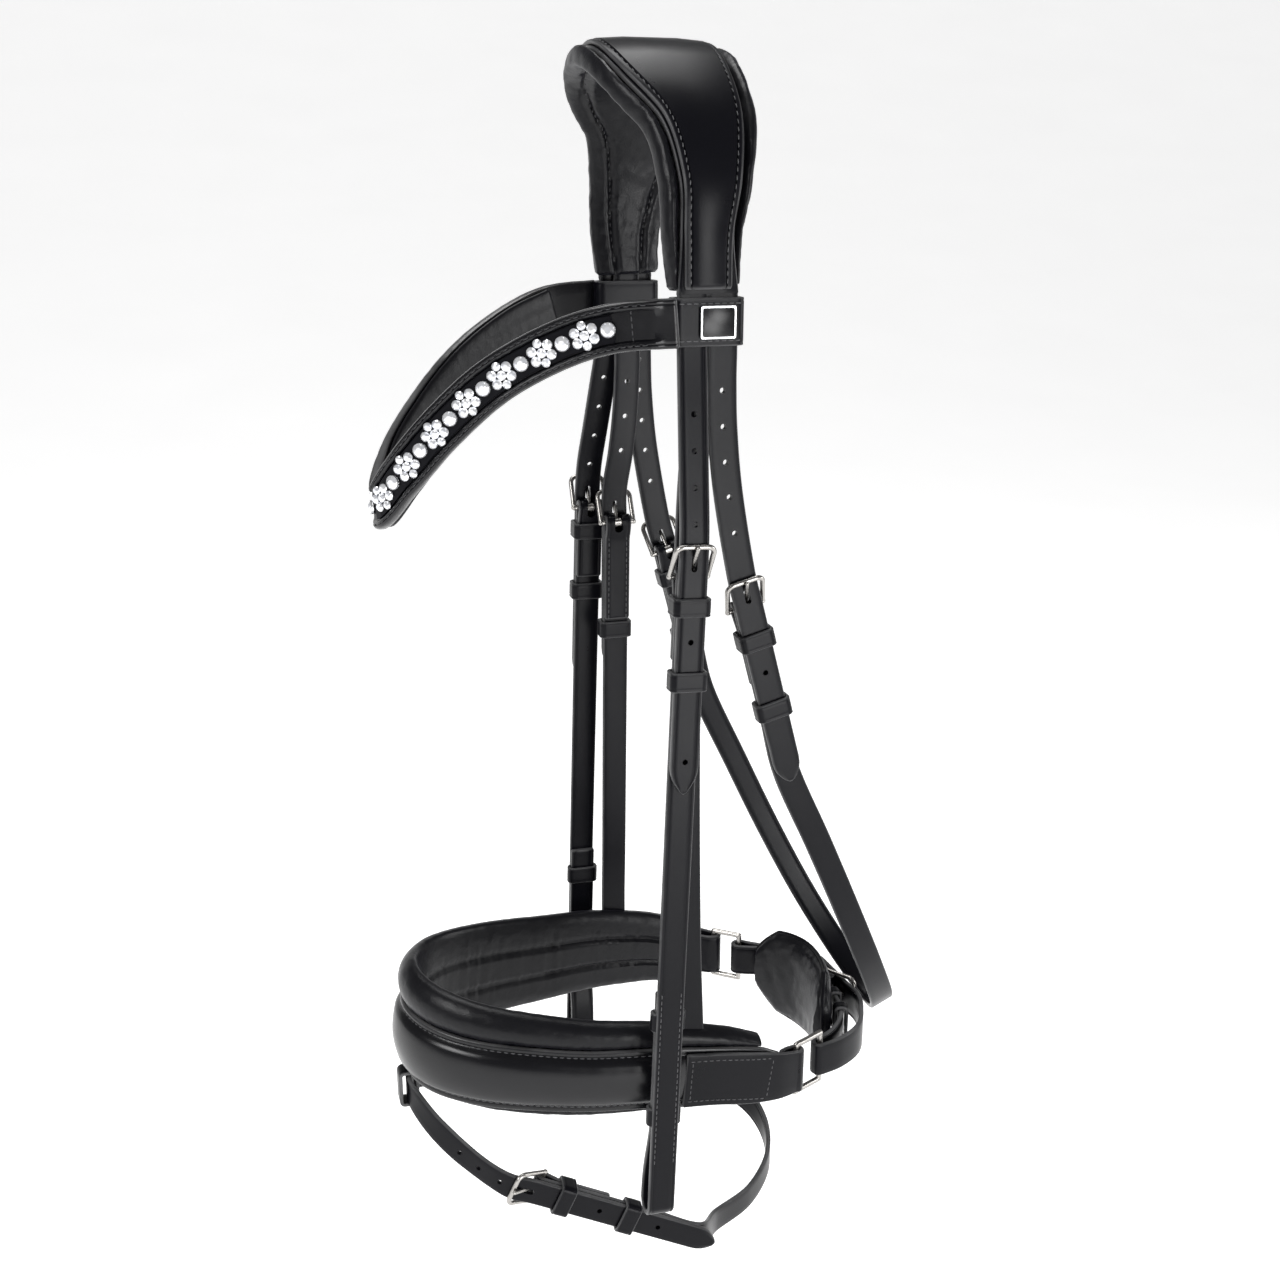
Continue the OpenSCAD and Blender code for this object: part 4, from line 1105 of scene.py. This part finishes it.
def end_tab(s, label):
    """A tab sewn on the noseband's end: out along it, round the upright bar of the ring and back."""
    bar_x, bar_y, round_bar = 61, 60.2, 2.75
    flat = [[2, s * 67, -446.6], [18, s * 67.7, -448], [36, s * 67.6, -451], [50, s * 66.2, -453.4]]
    turned = [[bar_x + round_bar * math.cos(a), s * (bar_y + round_bar * math.sin(a)), ring_z]
              for a in np.radians(range(100, -81, -20))]
    route = flat + turned + [[57, s * 58.2, ring_z], [52, s * 61.0, ring_z + 0.4]]
    w = np.interp(np.arange(len(route)), [0, 2, 4, len(route) - 1], [28, 27, 22.4, 22.4])
    made = strap("%s_end_tab_leather" % label, lay(route, (0, 0, 1), 0.7), w,
                 strap_rows(2.3, crease=1.7), bridle_leather)
    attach(made, "noseband")
    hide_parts(label + "_end_tab")
    face = lay(flat, (0, 0, 1), 0.9)
    z = 1.17 * s
    rows = [row(face, 3, 43, x, z, 2.9) for x in (-10.6, 10.6)]
    rows += [cross_row(face, d, 8.6, 7, z) for d in (3, 43)]
    rows = [(c, along, out * s) for c, along, out in rows]
    stitches(label + "_end_tab_stitches", "noseband", rows, grey_thread, 2.2, 0.28)
    finish_nodes(satin_steel, label + "_ring")


end_tab(-1, "near")
end_tab(1, "far")


# ---------------------------------------------------------------- Crank strap and chin pad
# The strap runs from the far ring behind the padded chin piece, through the near ring and back to
# its own buckle. Two loops on the pad hold it.
crank = buckle_frame([106.2, 6, ring_z], [104.6, 26, ring_z], np.cross([-1.6, 20, 0], [0, 0, 1]))
ring_wrap = 3.2


def at_ring_height(points):
    return [[x, y, ring_z] for x, y in points]


def beside(bar, d, p, along, across):
    """A place at ring height: along and across a strap's way from an upright bar."""
    return [bar[0] + along * d[0] + across * p[0], bar[1] + along * d[1] + across * p[1], ring_z]


def wrap(bar, d, p, angles):
    """Points round an upright bar, where d points along the strap and p across it."""
    return [beside(bar, d, p, ring_wrap * math.cos(a), ring_wrap * math.sin(a)) for a in np.radians(angles)]


far_bar, far_d, far_p = (72.5, 50.8), (0.785, -0.619), (0.619, 0.785)
crank_route = (
    [beside(far_bar, far_d, far_p, 12, 0.2), beside(far_bar, far_d, far_p, 6, -1.9)]
    + wrap(far_bar, far_d, far_p, [-90, -135, -180, -225, -270])
    + [beside(far_bar, far_d, far_p, 6, ring_wrap), beside(far_bar, far_d, far_p, 14, 3.0)]
    + [on(crank, 20, -3), on(crank, 13, -4.4), on(crank, 2, -5.1), on(crank, -12, -5.1)]
    + at_ring_height([[100.6, -21], [96.4, -34], [87, -44.6]])
    + wrap((76.5, -53.2), (1, 0), (0, 1), [80, 125, 170, 215, 260])
    + at_ring_height([[89, -52.6], [101.5, -44], [109, -31]])
    + [on(crank, y, billet_n - 0.2) for y in (-24, -8, 14, 26)])
crank_line = lay(crank_route, (0, 0, 1), 0.8)
crank_end = np.interp(crank_line["d"][-1] - crank_line["d"], [0, 2, 6, 9], [0.3, 0.62, 0.92, 1]) * 17
crank_strap = strap("crank_strap_leather", stepwise(crank_line), crank_end,
                    strap_rows(2.4, crease=1.6), bridle_leather)
cut(crank_strap, [hole(crank, -9.8, -4.0, 1.6, billet_n - 3.5, billet_n + 4)])
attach(crank_strap, "noseband")
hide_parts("crank_strap")
crank_way = fold_up(crank, 22)[:-1] + [on(crank, y, main_n) for y in (12, 22)]
sewn_fold("crank_fold", crank, "noseband", crank_way, 16.6, 0.6)
finish_nodes(satin_steel, "crank_buckle", "crank_tongue")

chin_route = [[x, y, ring_z + 4] for x, y in ([86, -34], [92, -21], [94, -6], [92, 9], [85.5, 22],
                                              [76.5, 33])]
chin_line = lay(chin_route, (0, 0, 1), 1.0)
chin_d = chin_line["d"]
chin_round = np.sqrt(np.clip(np.minimum(chin_d, chin_d[-1] - chin_d) / 13.0, 0.04, 1))
chin_w = values(chin_line, [40, 47, 50, 50, 47, 40]) * (0.35 + 0.65 * chin_round)
chin_count = 34
chin_rings = pad_rings(stepwise(chin_line), chin_w, 8.6, [], [], square=2.6, count=chin_count)
chin_pad = solid("chin_pad_soft", chin_rings, soft_leather)
chin_hold = np.zeros(chin_rings.shape[:2])
chin_hold[:, [0, 1, chin_count - 2, chin_count - 1, chin_count, -1]] = 1
chin_hold[:2], chin_hold[-2:] = 1, 1
puff(chin_pad, chin_hold.ravel(), 1.2)
crinkle(chin_pad, 31, 8.0, 0.2)
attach(chin_pad, "noseband")
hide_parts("chin_pad")


def piping(name, path, radius, body):
    """A thin covered cord along a closed path: eight points round it at each step."""
    way = unit(np.roll(path, -1, 0) - np.roll(path, 1, 0))
    away = unit(np.cross(way, unit(path - path.mean(0))))
    other = np.cross(way, away)
    turn8 = np.arange(8) * math.pi / 4
    rings = (path[:, None] + radius * np.cos(turn8)[None, :, None] * away[:, None]
             + radius * np.sin(turn8)[None, :, None] * other[:, None])
    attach(solid(name, rings, bridle_leather, loop=True), body)


edge_way = (chin_w / 2 + 0.1)[:, None] * chin_line["across"]
piping("chin_pad_piping", np.vstack([chin_line["c"] + edge_way, (chin_line["c"] - edge_way)[::-1]]),
       1.0, "noseband")
for number, place in enumerate((12.45, 13.5)):
    c, along, out = spot(crank_line, np.interp(place, crank_line["u"], crank_line["d"]), 0, 0)
    loop = leather_loop("chin_pad_loop_%d" % number, c[0], np.cross(along[0], out[0]), along[0],
                        out[0], 17.4, 4.2, 6, loop_wall, "noseband")
    if number == 0:
        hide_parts("chin_pad_loops")


# ---------------------------------------------------------------- Flash
# A narrow strap through the loop on the front of the noseband, round under the jaw and back to its
# buckle on the near side.
flash = buckle_frame([-63, -37.5, -512], [0, -45.5, -541], np.cross([63, -8, -29], [0, 0, 1]))
flash_route = (
    [on(flash, y, main_n) for y in (1, 6, 34, 62, 88)]
    + [[32, -31, -558], [58, -11, -563], [76, 9, -559], [80, 27, -549], [71, 41, -537],
       [46, 50, -523], [0, 52, -515], [-40, 49, -503], [-75, 39, -491], [-102, 22, -478],
       [-115.5, 9, -470.5], [-119.3, 0, -468.2], [-117.5, -8, -471.5], [-109.5, -18, -482],
       [-96, -28.5, -495]]
    + [on(flash, y, billet_n) for y in (-18, 0, 40, 80, 96)])
flash_line = lay(flash_route, (0, 0, 1), 0.9)
flash_strap = tipped("flash_strap_leather", flash_line, strap_rows(2.4))
bar_d = np.interp(21, flash_line["u"], flash_line["d"])
cut(flash_strap, billet_holes(flash, (32, 64), 3.5)
    + holes_along(flash_line, (bar_d - 21, bar_d - 33, bar_d - 45), 3.5))
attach(flash_strap, "flash")
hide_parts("flash_strap")
sewn_fold("flash_fold", flash, "flash", fold_up(flash))
strap_fittings(flash, "flash", "flash", 9, 43.5)
finish_nodes(satin_steel, "flash_buckle", "flash_tongue")
leather_loop("flash_loop_leather", (-119.3, 0, -468.2), (1, 0, 0), (0, 1, 0), (0, 0, 1),
             6.2, 15.6, 9, 1.8, "noseband", "flash_loop")
